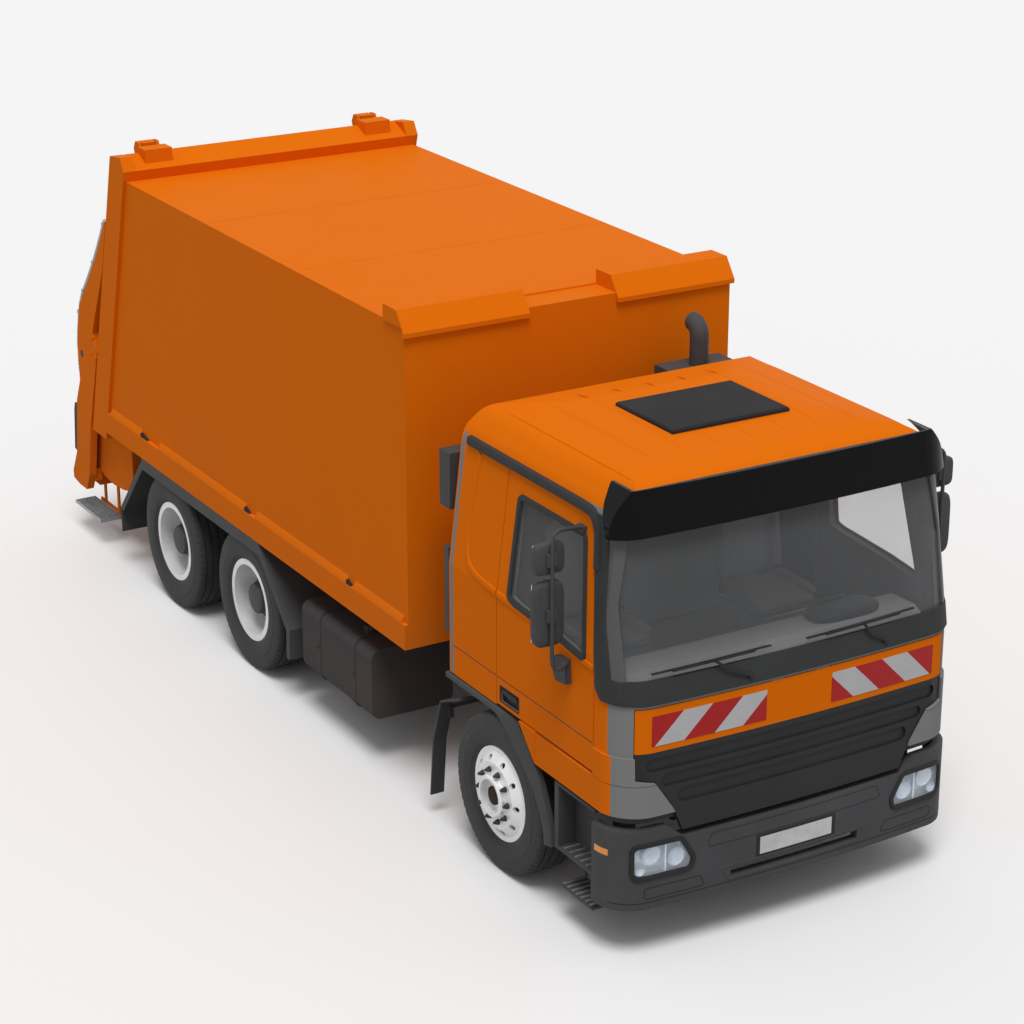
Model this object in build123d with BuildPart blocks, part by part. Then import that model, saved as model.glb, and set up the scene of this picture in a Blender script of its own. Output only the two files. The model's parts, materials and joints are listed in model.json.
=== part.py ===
import os
from math import asin, cos, degrees, radians, sin

from build123d import *

os.makedirs("parts", exist_ok=True)

# Refuse collection truck, in millimetres.  +Z is up, the cab faces -Y and the truck's right-hand
# side is -X.  The origin lies on the ground under the middle of the truck.  "Back" is a distance
# behind the bumper's front, "up" a height over the ground, "out" a distance from the middle plane.

# ---------------------------------------------------------------- driving dimensions
overall_length = 8335.0
origin_back = overall_length / 2
fit_gap = 0.3                   # running clearance at pins and sliding faces
panel_gap = 8.0                 # gap around doors, flaps and lids

# wheels and axles
wheel_radius = 522.0
tyre_width = 296.0
bead_radius = 286.0
rim_flange_radius = 306.0
rim_width = 250.0
disc_offset = 165.0
front_axle_back = 1423.0
wheelbase = 3600.0
tandem_spacing = 1350.0
front_wheel_out = 1089.0
twin_outer_out = 1085.0
spindle_radius = 60.0
hub_radius = 139.0
hub_mouth = 112.0                # radius of the open end of a front hub
kingpin_out = 830.0
kingpin_radius = 26.0

# chassis
rail_out = 400.0
rail_width = 75.0
rail_wall = 9.0
rail_low = 680.0
rail_high = 940.0
rail_front = 420.0
rail_back = 7150.0

# bumper
bumper_out = 1250.0
bumper_low = 327.0
bumper_shelf = 745.0
bumper_shoulder = 838.0
bumper_wall = 60.0
bumper_depth = 310.0
bracket_width = 60.0

# cab
cab_out = 1220.0
cab_eaves_out = 1118.0
cab_nose = 25.0
cab_back = 2030.0
cab_low = 920.0
cab_floor_up = 1120.0
cab_waist = 1850.0
cab_eaves = 2700.0
cab_crown_rise = 220.0
cab_crown = cab_eaves + cab_crown_rise
cab_crown_flat = 600.0          # half width of the level part of the roof
cab_wall = 50.0
glass_inset = 16.0
glass_thickness = 6.0
windscreen_foot = 1630.0
windscreen_lean = 0.19          # run back for each unit of rise
tilt_back = 150.0               # cab tilt pivot
tilt_up = 980.0
tilt_pin_radius = 24.0

# refuse body
body_front = 2570.0
body_out = 1222.0
body_rail_out = 1250.0
body_rail_low = 1060.0
body_ledge = 1232.0
body_roof = 3220.0
body_wall = 45.0
body_floor_back = 7270.0
frame_out = 1250.0
frame_width = 275.0             # rear frame's width along the truck
frame_foot_back = 7825.0        # rear frame's rear edge at the rail's bottom
frame_rake = 0.285              # run back for each unit of drop
frame_top = 3300.0
frame_post_inner = 1150.0

# tailgate
hinge_back = 7200.0
hinge_up = 3400.0
hinge_out = 930.0
hinge_pin_radius = 30.0
gate_plate_outer = 1250.0
gate_plate = 60.0
gate_gap = 10.0
blade_pivot_back = 7715.0
blade_pivot_up = 1720.0
tub_radius = 1175.0
tub_front = 7300.0
tub_wall = 25.0
tub_out = 1130.0
lifter_back = 8140.0
lifter_up = 1280.0
lifter_out = 1000.0
lifter_shaft_end = 1120.0
lifter_shaft_radius = 28.0

# lift cylinders
cylinder_out = 1100.0
cylinder_foot_back = 7500.0
cylinder_foot_up = 1200.0
cylinder_head_back = 7250.0
cylinder_head_up = 2950.0
barrel_radius = 42.0
rod_radius = 22.0
eye_radius = 45.0
eye_pin_radius = 22.0


# ---------------------------------------------------------------- helpers
def side_plane(out=0.0):
    """Sketch plane across the truck; its axes are back and up."""
    return Plane(origin=(out, -origin_back, 0), x_dir=(0, 1, 0), z_dir=(1, 0, 0))


def plan_plane(up=0.0):
    """Level sketch plane; its axes are x and back."""
    return Plane.XY.move(Location((0, -origin_back, up)))


def front_plane(back=0.0):
    """Upright sketch plane facing forward; its axes are x and up."""
    return Plane(origin=(0, back - origin_back, 0), x_dir=(1, 0, 0), z_dir=(0, -1, 0))


def slab(x_low, x_high, front, back, low, high, mode=Mode.ADD):
    """A box between two x, two distances back and two heights."""
    centre = ((x_low + x_high) / 2, (front + back) / 2 - origin_back, (low + high) / 2)
    with Locations(centre):
        Box(x_high - x_low, back - front, high - low, mode=mode)


def twin_slab(inner, outer, front, back, low, high, mode=Mode.ADD):
    """The same box on the left and on the right."""
    slab(inner, outer, front, back, low, high, mode)
    slab(-outer, -inner, front, back, low, high, mode)


def outline(plane, points):
    """A closed outline through the points, as a face on the plane."""
    with BuildSketch(plane) as drawn:
        with BuildLine():
            Polyline(*points, close=True)
        make_face()
    return drawn.sketch


def side_plate(points, x_low, x_high, mode=Mode.ADD):
    """A (back, up) outline made solid from one x to the other."""
    extrude(outline(side_plane(x_low), points), amount=x_high - x_low, mode=mode)


def twin_plate(points, inner, outer, mode=Mode.ADD):
    """The same plate on the left and on the right."""
    side_plate(points, inner, outer, mode)
    side_plate(points, -outer, -inner, mode)


def cross_rod(x_low, x_high, back, up, radius, mode=Mode.ADD):
    """A round bar across the truck."""
    with BuildSketch(side_plane(x_low)) as disc:
        with Locations((back, up)):
            Circle(radius)
    extrude(disc.sketch, amount=x_high - x_low, mode=mode)


def twin_rod(inner, outer, back, up, radius, mode=Mode.ADD):
    """The same bar on the left and on the right."""
    cross_rod(inner, outer, back, up, radius, mode)
    cross_rod(-outer, -inner, back, up, radius, mode)


def front_plate(points, front, back, mode=Mode.ADD):
    """An (x, up) outline made solid from one distance back to another."""
    extrude(outline(front_plane(back), points), amount=back - front, mode=mode)


def mirrored(points):
    """Points on the +x side, followed by their mirror images in reverse order."""
    return list(points) + [(-x, y) for x, y in reversed(points)]


def spun(points, back, up, x_centre, side):
    """An (out, radius) outline revolved about the axle; out runs away from the truck's middle."""
    plane = Plane(origin=(x_centre, back - origin_back, up), x_dir=(side, 0, 0), z_dir=(0, -side, 0))
    revolve(outline(plane, points), axis=Axis(plane.origin, (1, 0, 0)), revolution_arc=360)


def save(builder, name):
    """Labels a finished piece and writes its file."""
    builder.part.label = name
    export_step(builder.part, f"parts/{name}.step")


# ---------------------------------------------------------------- wheels
rear_axle_backs = {
    "middle": front_axle_back + wheelbase,
    "rear": front_axle_back + wheelbase + tandem_spacing,
}
twin_inner_out = twin_outer_out - 2 * disc_offset
sides = {"right": -1, "left": 1}

tyre_half = tyre_width / 2
tread_half = tyre_half - 30
bead_half = rim_width / 2 - 12
tyre_outline = [
    (-bead_half, bead_radius), (-bead_half, rim_flange_radius + 5), (-tyre_half + 14, bead_radius + 50),
    (-tyre_half, wheel_radius - 100),
    (-tyre_half + 4, wheel_radius - 32), (-tread_half, wheel_radius),
    (tread_half, wheel_radius), (tyre_half - 4, wheel_radius - 32),
    (tyre_half, wheel_radius - 100), (tyre_half - 14, bead_radius + 50),
    (bead_half, rim_flange_radius + 5), (bead_half, bead_radius),
]

rim_half = rim_width / 2
disc_plate = 14.0
rim_seat = bead_radius - fit_gap
barrel_inner = bead_radius - 22
disc_shoulder = 208.0
rim_outline = [
    (-rim_half, rim_flange_radius), (-bead_half - 2, rim_flange_radius), (-bead_half - 2, rim_seat),
    (bead_half + 2, rim_seat), (bead_half + 2, rim_flange_radius), (rim_half, rim_flange_radius),
    (rim_half, bead_radius - 12), (disc_offset, disc_shoulder + 8), (disc_offset, hub_radius),
    (disc_offset - disc_plate, hub_radius), (disc_offset - disc_plate, disc_shoulder),
    (rim_half - 18, barrel_inner), (-rim_half, barrel_inner),
]
hand_holes = 10
hand_hole_radius = 19.0
hand_hole_ring = 238.0


def cut_hand_holes(back, x_face, side):
    """Rounded openings through the rim's cone."""
    plane = Plane(origin=(x_face, back - origin_back, wheel_radius), x_dir=(0, 1, 0), z_dir=(side, 0, 0))
    with BuildSketch(plane) as holes:
        with PolarLocations(hand_hole_ring, hand_holes):
            Circle(hand_hole_radius)
    extrude(holes.sketch, amount=rim_half, both=True, mode=Mode.SUBTRACT)


for side_name, side in sides.items():
    x_wheel = side * front_wheel_out
    with BuildPart() as tyre:
        spun(tyre_outline, front_axle_back, wheel_radius, x_wheel, side)
    save(tyre, f"tyre_front_{side_name}")

    hub_outline = [(disc_offset - 95, hub_radius), (disc_offset + 26, hub_radius),
                   (disc_offset + 36, hub_radius - 10), (disc_offset + 36, hub_mouth),
                   (disc_offset - 25, hub_mouth), (disc_offset - 25, spindle_radius + fit_gap),
                   (disc_offset - 95, spindle_radius + fit_gap)]
    with BuildPart() as rim:
        spun(rim_outline, front_axle_back, wheel_radius, x_wheel, side)
        cut_hand_holes(front_axle_back, x_wheel + side * disc_offset, side)
        spun(hub_outline, front_axle_back, wheel_radius, x_wheel, side)
    save(rim, f"rim_front_{side_name}")

    for axle_name, axle_back in rear_axle_backs.items():
        with BuildPart() as tyres:
            spun(tyre_outline, axle_back, wheel_radius, side * twin_outer_out, side)
            spun(tyre_outline, axle_back, wheel_radius, side * twin_inner_out, side)
        save(tyres, f"tyres_{axle_name}_{side_name}")

        outer_rim = [(-out, radius) for out, radius in rim_outline]
        hub_end = -disc_offset + 120
        twin_hub = [(-disc_offset - 150, hub_radius), (hub_end - 20, hub_radius),
                    (hub_end, hub_radius - 40), (hub_end, 0), (hub_end - 30, 0),
                    (hub_end - 30, spindle_radius + fit_gap),
                    (-disc_offset - 150, spindle_radius + fit_gap)]
        with BuildPart() as rims:
            spun(outer_rim, axle_back, wheel_radius, side * twin_outer_out, side)
            spun(rim_outline, axle_back, wheel_radius, side * twin_inner_out, side)
            cut_hand_holes(axle_back, side * (twin_outer_out - disc_offset), side)
            spun(twin_hub, axle_back, wheel_radius, side * twin_outer_out, side)
        save(rims, f"rims_{axle_name}_{side_name}")

# ---------------------------------------------------------------- axles and steering knuckles
beam_low = wheel_radius - 150
beam_high = wheel_radius - 55
beam_depth = 90.0
fist_half = 45.0                # half the height of the axle's eye around the kingpin
knuckle_ear = 26.0

with BuildPart() as front_axle:
    slab(-kingpin_out + 150, kingpin_out - 150, front_axle_back - beam_depth / 2,
         front_axle_back + beam_depth / 2, beam_low, beam_high)
    for side in sides.values():
        with BuildSketch(front_plane(front_axle_back + beam_depth / 2)) as arm:
            with BuildLine():
                Polyline((side * (kingpin_out - 150), beam_low),
                         (side * (kingpin_out - 60), wheel_radius - fist_half),
                         (side * kingpin_out, wheel_radius - fist_half),
                         (side * kingpin_out, wheel_radius + fist_half),
                         (side * (kingpin_out - 60), wheel_radius + fist_half),
                         (side * (kingpin_out - 150), beam_high), close=True)
            make_face()
        extrude(arm.sketch, amount=beam_depth)
        with Locations((side * kingpin_out, front_axle_back - origin_back, wheel_radius)):
            Cylinder(beam_depth / 2, 2 * fist_half)
            Cylinder(kingpin_radius, 2 * (fist_half + knuckle_ear + 6))
        # leaf spring over the beam, from hanger to shackle, with its saddle
        spring_out = side * (rail_out + 45)
        slab(spring_out - 40, spring_out + 40, front_axle_back - 820, front_axle_back + 820,
             beam_high + 45, beam_high + 80)
        slab(spring_out - 40, spring_out + 40, front_axle_back - 560, front_axle_back + 560,
             beam_high + 20, beam_high + 45)
        slab(spring_out - 40, spring_out + 40, front_axle_back - 90, front_axle_back + 90,
             beam_high, beam_high + 20)
        hanger = sorted((side * rail_out, spring_out + side * 40))
        for end_back in (front_axle_back - 800, front_axle_back + 800):
            slab(hanger[0], hanger[1], end_back - 30, end_back + 30, beam_high + 80, rail_low + 60)
save(front_axle, "front_axle")

for side_name, side in sides.items():
    ear_low = wheel_radius - fist_half - fit_gap
    ear_high = wheel_radius + fist_half + fit_gap
    pin_place = (side * kingpin_out, front_axle_back - origin_back)
    web_in = kingpin_out + beam_depth / 2 + panel_gap
    with BuildPart() as knuckle:
        for low in (ear_low - knuckle_ear, ear_high):
            with Locations((*pin_place, low + knuckle_ear / 2)):
                Cylinder(beam_depth / 2 - 2, knuckle_ear)
            reach = sorted((side * kingpin_out, side * (web_in + 25)))
            slab(reach[0], reach[1], front_axle_back - 40, front_axle_back + 40, low, low + knuckle_ear)
        web = sorted((side * web_in, side * (web_in + 30)))
        slab(web[0], web[1], front_axle_back - 60, front_axle_back + 60,
             ear_low - knuckle_ear, ear_high + knuckle_ear)
        spindle = sorted((side * (web_in + 10), side * (front_wheel_out + disc_offset + 10)))
        cross_rod(spindle[0], spindle[1], front_axle_back, wheel_radius, spindle_radius)
        drum = sorted((side * (web_in + 30), side * (front_wheel_out + disc_offset - 110)))
        cross_rod(drum[0], drum[1], front_axle_back, wheel_radius, bead_radius - 60)
        for low in (ear_low - knuckle_ear, ear_high):
            with Locations((*pin_place, low + knuckle_ear / 2)):
                Cylinder(kingpin_radius + fit_gap, knuckle_ear * 1.2, mode=Mode.SUBTRACT)
    save(knuckle, f"knuckle_{side_name}")

axle_tube = 75.0
diff_radius = 190.0
with BuildPart() as rear_axles:
    for axle_back in rear_axle_backs.values():
        tube_end = twin_outer_out - disc_offset - 150 - panel_gap
        cross_rod(-tube_end, tube_end, axle_back, wheel_radius, axle_tube)
        spindle_end = twin_outer_out - disc_offset + 80
        cross_rod(-spindle_end, spindle_end, axle_back, wheel_radius, spindle_radius)
        with Locations((0, axle_back - origin_back, wheel_radius)):
            Sphere(diff_radius)
    middle_back, last_back = rear_axle_backs.values()
    spring_top = wheel_radius + axle_tube + 30
    for side in sides.values():
        for axle_back in rear_axle_backs.values():
            spring_out = side * (rail_out + 45)
            slab(spring_out - 40, spring_out + 40, axle_back - 470, axle_back + 470, spring_top, spring_top + 50)
            slab(spring_out - 40, spring_out + 40, axle_back - 80, axle_back + 80, wheel_radius, spring_top)
            hanger = sorted((side * rail_out, spring_out + side * 40))
            for end_back in (axle_back - 440, axle_back + 440):
                slab(hanger[0], hanger[1], end_back - 30, end_back + 30, spring_top + 50, rail_low + 60)
    # drive shafts from the gearbox to the middle axle and on to the rear axle
    shaft_radius = 45.0
    gearbox_back = 2750.0
    with BuildSketch(front_plane(gearbox_back + fit_gap)) as shaft:
        with Locations((0, wheel_radius + 60)):
            Circle(shaft_radius)
    extrude(shaft.sketch, amount=-(last_back - gearbox_back))
save(rear_axles, "rear_axles")

# ---------------------------------------------------------------- ladder frame and engine
cross_members = [520.0, 2900.0, 4420.0, 5700.0, 7060.0]
tilt_arm = (405.0, 445.0)
cab_rest_back = 1850.0
with BuildPart() as frame_rails:
    inner = rail_out - rail_width
    twin_slab(rail_out - rail_wall, rail_out, rail_front, rail_back, rail_low, rail_high)
    twin_slab(inner, rail_out, rail_front, rail_back, rail_low, rail_low + rail_wall)
    twin_slab(inner, rail_out, rail_front, rail_back, rail_high - rail_wall, rail_high)
    for member in cross_members:
        slab(-rail_out + rail_wall, rail_out - rail_wall, member - 40, member + 40, rail_low + 30, rail_high - 30)
    # arms that carry the cab's tilt pivot, and their pins
    arm_outline = [(tilt_back - 5, tilt_up + 38), (tilt_back - 38, tilt_up), (tilt_back - 5, tilt_up - 38),
                   (rail_front - 20, rail_high), (rail_front + 20, rail_low + 40), (rail_front + 150, rail_low + 40),
                   (rail_front + 150, rail_high), (rail_front + 60, tilt_up + 38)]
    twin_plate(arm_outline, tilt_arm[0] - 5, tilt_arm[1])
    twin_rod(tilt_arm[0], tilt_arm[1] + 50, tilt_back, tilt_up, tilt_pin_radius)
    # rests under the back of the cab
    twin_slab(rail_out - 70, rail_out, cab_rest_back - 60, cab_rest_back + 60, rail_high, cab_floor_up)
save(frame_rails, "frame_rails")

engine_front = 640.0
with BuildPart() as engine:
    slab(-310, 310, engine_front, 1960, rail_low - 80, 1080)
    slab(-170, 170, 1960, gearbox_back, rail_low - 150, rail_high - 20)
    # mounting feet on the rails
    twin_slab(300, rail_out - rail_wall, 900, 1000, rail_low + 9, rail_low + 60)
    twin_slab(300, rail_out - rail_wall, 1750, 1850, rail_low + 9, rail_low + 60)
save(engine, "engine_block")


# ---------------------------------------------------------------- bumper and headlamps
def bumper_plan(inset):
    """The bumper's rounded outline seen from above."""
    out = bumper_out - inset
    corner = 235.0 - inset
    with BuildSketch(plan_plane()) as plan:
        with BuildLine():
            bow = ThreePointArc((-out + 1.0, 62 + inset), (0, inset), (out - 1.0, 62 + inset))
            Polyline(bow @ 1, (out, bumper_depth + 400), (-out, bumper_depth + 400), bow @ 0)
        make_face()
        fillet(plan.vertices().group_by(Axis.Y)[0], corner)
    return plan.sketch


lamp_inner = 720.0
lamp_outer = 1125.0
lamp_low = 530.0
lamp_high = 745.0
lamp_depth = 45.0
slot_half = 465.0
slot_low = 405.0
slot_high = 462.0
shoulder_foot = 790.0
shoulder_top = 900.0


def lamp_outline(side, gap):
    """A headlamp's outline seen from the front, drawn in by a gap."""
    points = [(lamp_inner + 20 + gap, lamp_low + gap), (lamp_outer - gap, lamp_low + gap),
              (lamp_outer - gap, lamp_high - gap), (lamp_inner + 90 + gap, lamp_high - gap),
              (lamp_inner + gap, lamp_low + 70 + gap)]
    return [(side * x, up) for x, up in points]


with BuildPart() as bumper:
    extrude(bumper_plan(0), amount=bumper_shoulder)
    extrude(bumper_plan(bumper_wall), amount=bumper_shoulder, mode=Mode.SUBTRACT)
    slab(-bumper_out, bumper_out, bumper_depth, bumper_depth + 600, -10, 1000, mode=Mode.SUBTRACT)
    slab(-bumper_out, bumper_out, -10, bumper_depth, -10, bumper_low, mode=Mode.SUBTRACT)
    # the middle of the top steps down between the lamp shoulders
    front_plate(mirrored([(shoulder_foot, bumper_shelf), (shoulder_top, bumper_shoulder + 1)]),
                -10, bumper_depth + 1, mode=Mode.SUBTRACT)
    # shelf behind the front skin, with arms back to the brackets on the rails
    slab(-bumper_out + 300, bumper_out - 300, bumper_wall, bumper_wall + 60, bumper_shelf - 30, bumper_shelf)
    slab(-700, 700, bumper_wall, bumper_wall + 60, rail_low - 160, rail_low - 100)
    twin_slab(rail_out - bracket_width, rail_out, bumper_wall + 60, rail_front + 100, rail_low - 160, rail_low - 100)
    twin_slab(rail_out - bracket_width, rail_out, rail_front, rail_front + 100, rail_low - 100, rail_low)
    slab(-slot_half, slot_half, -10, bumper_wall + 100, slot_low, slot_high, mode=Mode.SUBTRACT)
    for side in sides.values():
        front_plate(lamp_outline(side, 0), -10, 200, mode=Mode.SUBTRACT)
save(bumper, "bumper")

with BuildPart() as headlamps:
    extrude(bumper_plan(6), amount=bumper_shoulder)
    extrude(bumper_plan(6 + lamp_depth), amount=bumper_shoulder, mode=Mode.SUBTRACT)
    slab(-bumper_out, bumper_out, bumper_depth, bumper_depth + 600, -10, 1000, mode=Mode.SUBTRACT)
    with BuildPart(mode=Mode.PRIVATE) as lamp_zone:
        for side in sides.values():
            front_plate(lamp_outline(side, fit_gap), -10, 200)
    add(lamp_zone.part, mode=Mode.INTERSECT)
save(headlamps, "headlamps")

# ---------------------------------------------------------------- tanks, guards, steps and intake
tank_front = 3105.0
tank_back = 4140.0
tank_inner = 600.0
tank_outer = 1220.0
tank_low = 335.0
tank_high = 840.0
strap_width = 50.0
tank_round = 70.0
with BuildPart() as fuel_tank:
    slab(-tank_outer, -tank_inner, tank_front, tank_back, tank_low, tank_high)
    fillet(fuel_tank.edges().filter_by(Axis.Y), tank_round)
    for strap_back in (tank_front + 260, tank_back - 260):
        with BuildPart(mode=Mode.PRIVATE) as strap:
            slab(-tank_outer - 6, -tank_inner, strap_back - strap_width / 2, strap_back + strap_width / 2,
                 tank_low - 6, tank_high + 6)
            fillet(strap.edges().filter_by(Axis.Y), tank_round)
        add(strap.part)
        slab(-tank_inner - 20, -rail_out, strap_back - 30, strap_back + 30, tank_low + 80, rail_high - 60)
    with Locations((-tank_outer + 170, tank_front + 320 - origin_back, tank_high + 20)):
        Cylinder(50, 50)
save(fuel_tank, "fuel_tank")

box_front = 3250.0
box_back = 4050.0
with BuildPart() as battery_box:
    slab(tank_inner, tank_outer, box_front, box_back, 390, 820)
    fillet(battery_box.edges().filter_by(Axis.Y), 25)
    for foot_back in (box_front + 150, box_back - 150):
        slab(rail_out, tank_inner + 20, foot_back - 30, foot_back + 30, 450, rail_high - 60)
save(battery_box, "battery_box")

guard_plate = 8.0
guard_inner = 700.0
guard_top = body_rail_low - 3.0
guard_lip = 12.0
guard_lip_depth = 50.0
rear_guard = [(7335, 496), (6880, 1010), (6850, guard_top), (4770, guard_top), (4735, 1015), (4292, 560),
              (4300, 329)]
rear_guard_inside = [(4300 + guard_plate, 329), (4292 + guard_plate, 556), (4740, 1008),
                     (4773, guard_top - guard_plate), (6846, guard_top - guard_plate), (6874, 1004), (7326, 494)]
lip_inside = [(4300 + guard_lip_depth, 329), (4292 + guard_lip_depth, 540), (4758, 1015 - guard_lip_depth),
              (6850, 1015 - guard_lip_depth), (7335 - guard_lip_depth, 480)]
guard_plate_front = 14.0
front_guard = [(1891, 985), (2136, 876), (2240, 560), (2282, 151)]
front_guard_inside = [(2282 - guard_plate_front, 151), (2226, 555), (2126, 866), (1886, 972)]
flap_low = 294.0
guard_strip = 1140.0            # inner edge of the strip behind each front wheel
with BuildPart() as mudguards:
    twin_plate(rear_guard + rear_guard_inside, guard_inner, body_rail_out)
    twin_plate(rear_guard + lip_inside, body_rail_out - guard_lip, body_rail_out)
    twin_slab(guard_inner, body_rail_out, 7320, 7332, flap_low, 500)
    for hanger_back in (4900, 6750):
        twin_slab(rail_out, 560, hanger_back - 20, hanger_back + 20, 900, 930)
        twin_slab(540, 560, hanger_back - 20, hanger_back + 20, 900, guard_top)
        twin_slab(540, guard_inner + 40, hanger_back - 20, hanger_back + 20, guard_top - guard_plate, guard_top)
    twin_plate(front_guard + front_guard_inside, guard_strip, 1235)
    twin_slab(rail_out, guard_strip + 20, 2160, 2190, 790, 820)
    twin_slab(guard_strip, guard_strip + 30, 2130, 2190, 740, 820)
save(mudguards, "mudguards")

step_front = 330.0
step_back = 775.0
step_low = 250.0
step_shelf = 475.0
step_top = 895.0
step_outer = 1215.0
step_wall = 1090.0
with BuildPart() as entry_steps:
    for side in sides.values():
        reach = sorted((side * 930, side * step_outer))
        slab(reach[0], reach[1], step_front, step_back, step_shelf - 20, step_top)
        recess = sorted((side * step_wall, side * (step_outer + 10)))
        slab(recess[0], recess[1], step_front - 10, step_back - 45, step_shelf, step_top - 20, mode=Mode.SUBTRACT)
        tread = sorted((side * 1050, side * 1225))
        slab(tread[0], tread[1], step_front, step_back - 85, step_low - 15, step_low)
        for strap_back in (step_front + 20, step_back - 115):
            strap = sorted((side * 1050, side * 1062))
            slab(strap[0], strap[1], strap_back, strap_back + 25, step_low, 460)
        arm = sorted((side * tilt_arm[1], side * 935))
        slab(arm[0], arm[1], step_front + 150, step_front + 230, rail_low + 20, rail_low + 100)
save(entry_steps, "entry_steps")

intake_out = 760.0
intake_back = 2180.0
with BuildPart() as intake:
    slab(intake_out - 250, intake_out + 250, 2120, 2380, 1250, 2760)
    slab(rail_out - 60, rail_out, 2150, 2350, rail_high, 1300)
    slab(rail_out - 60, intake_out, 2150, 2350, 1250, 1300)
    with BuildSketch(Plane.XY.move(Location((intake_out, intake_back + 60 - origin_back, 2760)))) as pipe:
        Circle(62)
    with BuildLine(Plane(origin=(intake_out, intake_back + 60 - origin_back, 2760),
                         x_dir=(0, 1, 0), z_dir=(1, 0, 0))) as bend:
        rise = Line((0, 0), (0, 190))
        TangentArc(rise @ 1, (80, 270), tangent=rise % 1)
    sweep(pipe.sketch, path=bend.line)
    # silencer and cooling pack behind the cab on the other side
    slab(-1165, -940, 2110, 2240, 2165, 2530)
    slab(-1050, -940, 2110, 2230, 1080, 2170)
    slab(-1178, -1045, 2110, 2165, 1342, 1916)
    slab(-1050, -rail_out + 60, 2130, 2230, 1080, 1180)
    slab(-rail_out, -rail_out + 60, 2130, 2230, rail_high, 1180)
save(intake, "intake_stack")


# ---------------------------------------------------------------- refuse body
def frame_back_at(up):
    """Rear edge of the raked rear frame at a height."""
    return frame_foot_back - frame_rake * (up - body_rail_low)


def frame_front_at(up):
    """Front edge of the raked rear frame at a height."""
    return frame_back_at(up) - frame_width


floor_high = body_rail_low + 50
bearer_inner = rail_out - 70
with BuildPart() as body_floor:
    slab(-body_out + body_wall, body_out - body_wall, body_front, body_floor_back, body_rail_low, floor_high)
    twin_slab(bearer_inner, rail_out, body_front + 30, rail_back - 10, rail_high, body_rail_low)
    twin_plate([(body_front, body_rail_low), (frame_front_at(body_rail_low), body_rail_low),
                (frame_front_at(body_ledge), body_ledge), (body_front, body_ledge)],
               body_out - body_wall, body_rail_out)
save(body_floor, "body_floor")

wall_outline = [(body_front, body_ledge), (frame_front_at(body_ledge), body_ledge),
                (frame_front_at(body_roof), body_roof), (body_front, body_roof)]
with BuildPart() as body_sides:
    twin_plate(wall_outline, body_out - body_wall, body_out)
save(body_sides, "body_sides")

roof_plate = 40.0
hood_back = 2816.0
with BuildPart() as body_roof_part:
    slab(-body_out + body_wall, body_out - body_wall, body_front + body_wall, frame_front_at(body_roof),
         body_roof - roof_plate, body_roof)
save(body_roof_part, "body_roof")

hood_top = 3322.0
hood_inner = 330.0
hood_outline = [(body_front - 26, body_roof - 60), (body_front - 26, body_roof - 30), (body_front + 70, hood_top),
                (hood_back, hood_top), (hood_back, body_roof), (body_front, body_roof), (body_front, body_roof - 60)]
with BuildPart() as body_front_wall:
    slab(-body_out + body_wall, body_out - body_wall, body_front, body_front + body_wall, floor_high, body_roof)
    twin_plate(hood_outline, hood_inner, body_rail_out - 10)
save(body_front_wall, "body_front_wall")

post_foot = body_rail_low - 60
post_outline = [(frame_front_at(post_foot), post_foot), (frame_back_at(post_foot), post_foot),
                (frame_back_at(hinge_up - 25), hinge_up - 25), (frame_front_at(frame_top) + 60, hinge_up),
                (frame_front_at(frame_top), frame_top)]
beam_foot = body_roof - 80
hinge_clear = 80.0              # room around the hinge pin for the tailgate's arm
beam_outline = [(frame_front_at(beam_foot), beam_foot), (frame_back_at(beam_foot), beam_foot),
                (frame_back_at(frame_top), frame_top), (hinge_back - hinge_clear, hinge_up - 15),
                (frame_front_at(frame_top), frame_top)]
block_inner = 820.0
block_outer = 1040.0
lug_radius = 62.0
body_lug = [(hinge_back - 55, frame_top - 40), (hinge_back + 5, frame_top - 60), (hinge_back + lug_radius, hinge_up - 10),
            (hinge_back + 30, hinge_up + 48), (hinge_back - 30, hinge_up + 48), (hinge_back - 100, frame_top)]
lug_half = 60.0
lug_plate = 24.0
with BuildPart() as rear_frame:
    twin_plate(post_outline, frame_post_inner, frame_out)
    side_plate(beam_outline, -frame_post_inner, frame_post_inner)
    # blocks in front of the hinges
    twin_slab(block_inner, block_outer, frame_front_at(frame_top) + 70, hinge_back - hinge_clear,
              frame_top - 10, hinge_up + 30)
    # forks that hold the tailgate's hinge pins
    for side in sides.values():
        for shift in (-lug_half - lug_plate, lug_half):
            lug = sorted((side * hinge_out + shift, side * hinge_out + shift + lug_plate))
            side_plate(body_lug, lug[0], lug[1])
        cross_rod(side * hinge_out - lug_half - lug_plate, side * hinge_out + lug_half + lug_plate,
                  hinge_back, hinge_up, hinge_pin_radius)
        # foot pins of the lift cylinders
        foot = sorted((side * (cylinder_out - 45), side * (frame_post_inner + 5)))
        cross_rod(foot[0], foot[1], cylinder_foot_back, cylinder_foot_up, eye_pin_radius)
save(rear_frame, "body_rear_frame")

ejector_front = 2720.0
ejector_outline = [(ejector_front, floor_high + 12), (ejector_front + 330, floor_high + 12),
                   (ejector_front + 330, floor_high + 60), (ejector_front + 90, 2300), (ejector_front + 90, 3140),
                   (ejector_front + 50, 3140), (ejector_front + 50, 2290), (ejector_front + 230, floor_high + 60),
                   (ejector_front, floor_high + 60)]
with BuildPart() as ejector:
    side_plate(ejector_outline, -1140, 1140)
    for rib_x in (-1000, -340, 340, 1000):
        side_plate([(ejector_front, floor_high + 60), (ejector_front + 240, floor_high + 60),
                    (ejector_front + 60, 2280), (ejector_front, 2280)], rib_x - 15, rib_x + 15)
    # shoes that slide on the floor
    for rib_x in (-1000, 1000):
        slab(rib_x - 60, rib_x + 60, ejector_front, ejector_front + 330, floor_high + fit_gap, floor_high + 12)
save(ejector, "ejector_plate")


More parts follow.
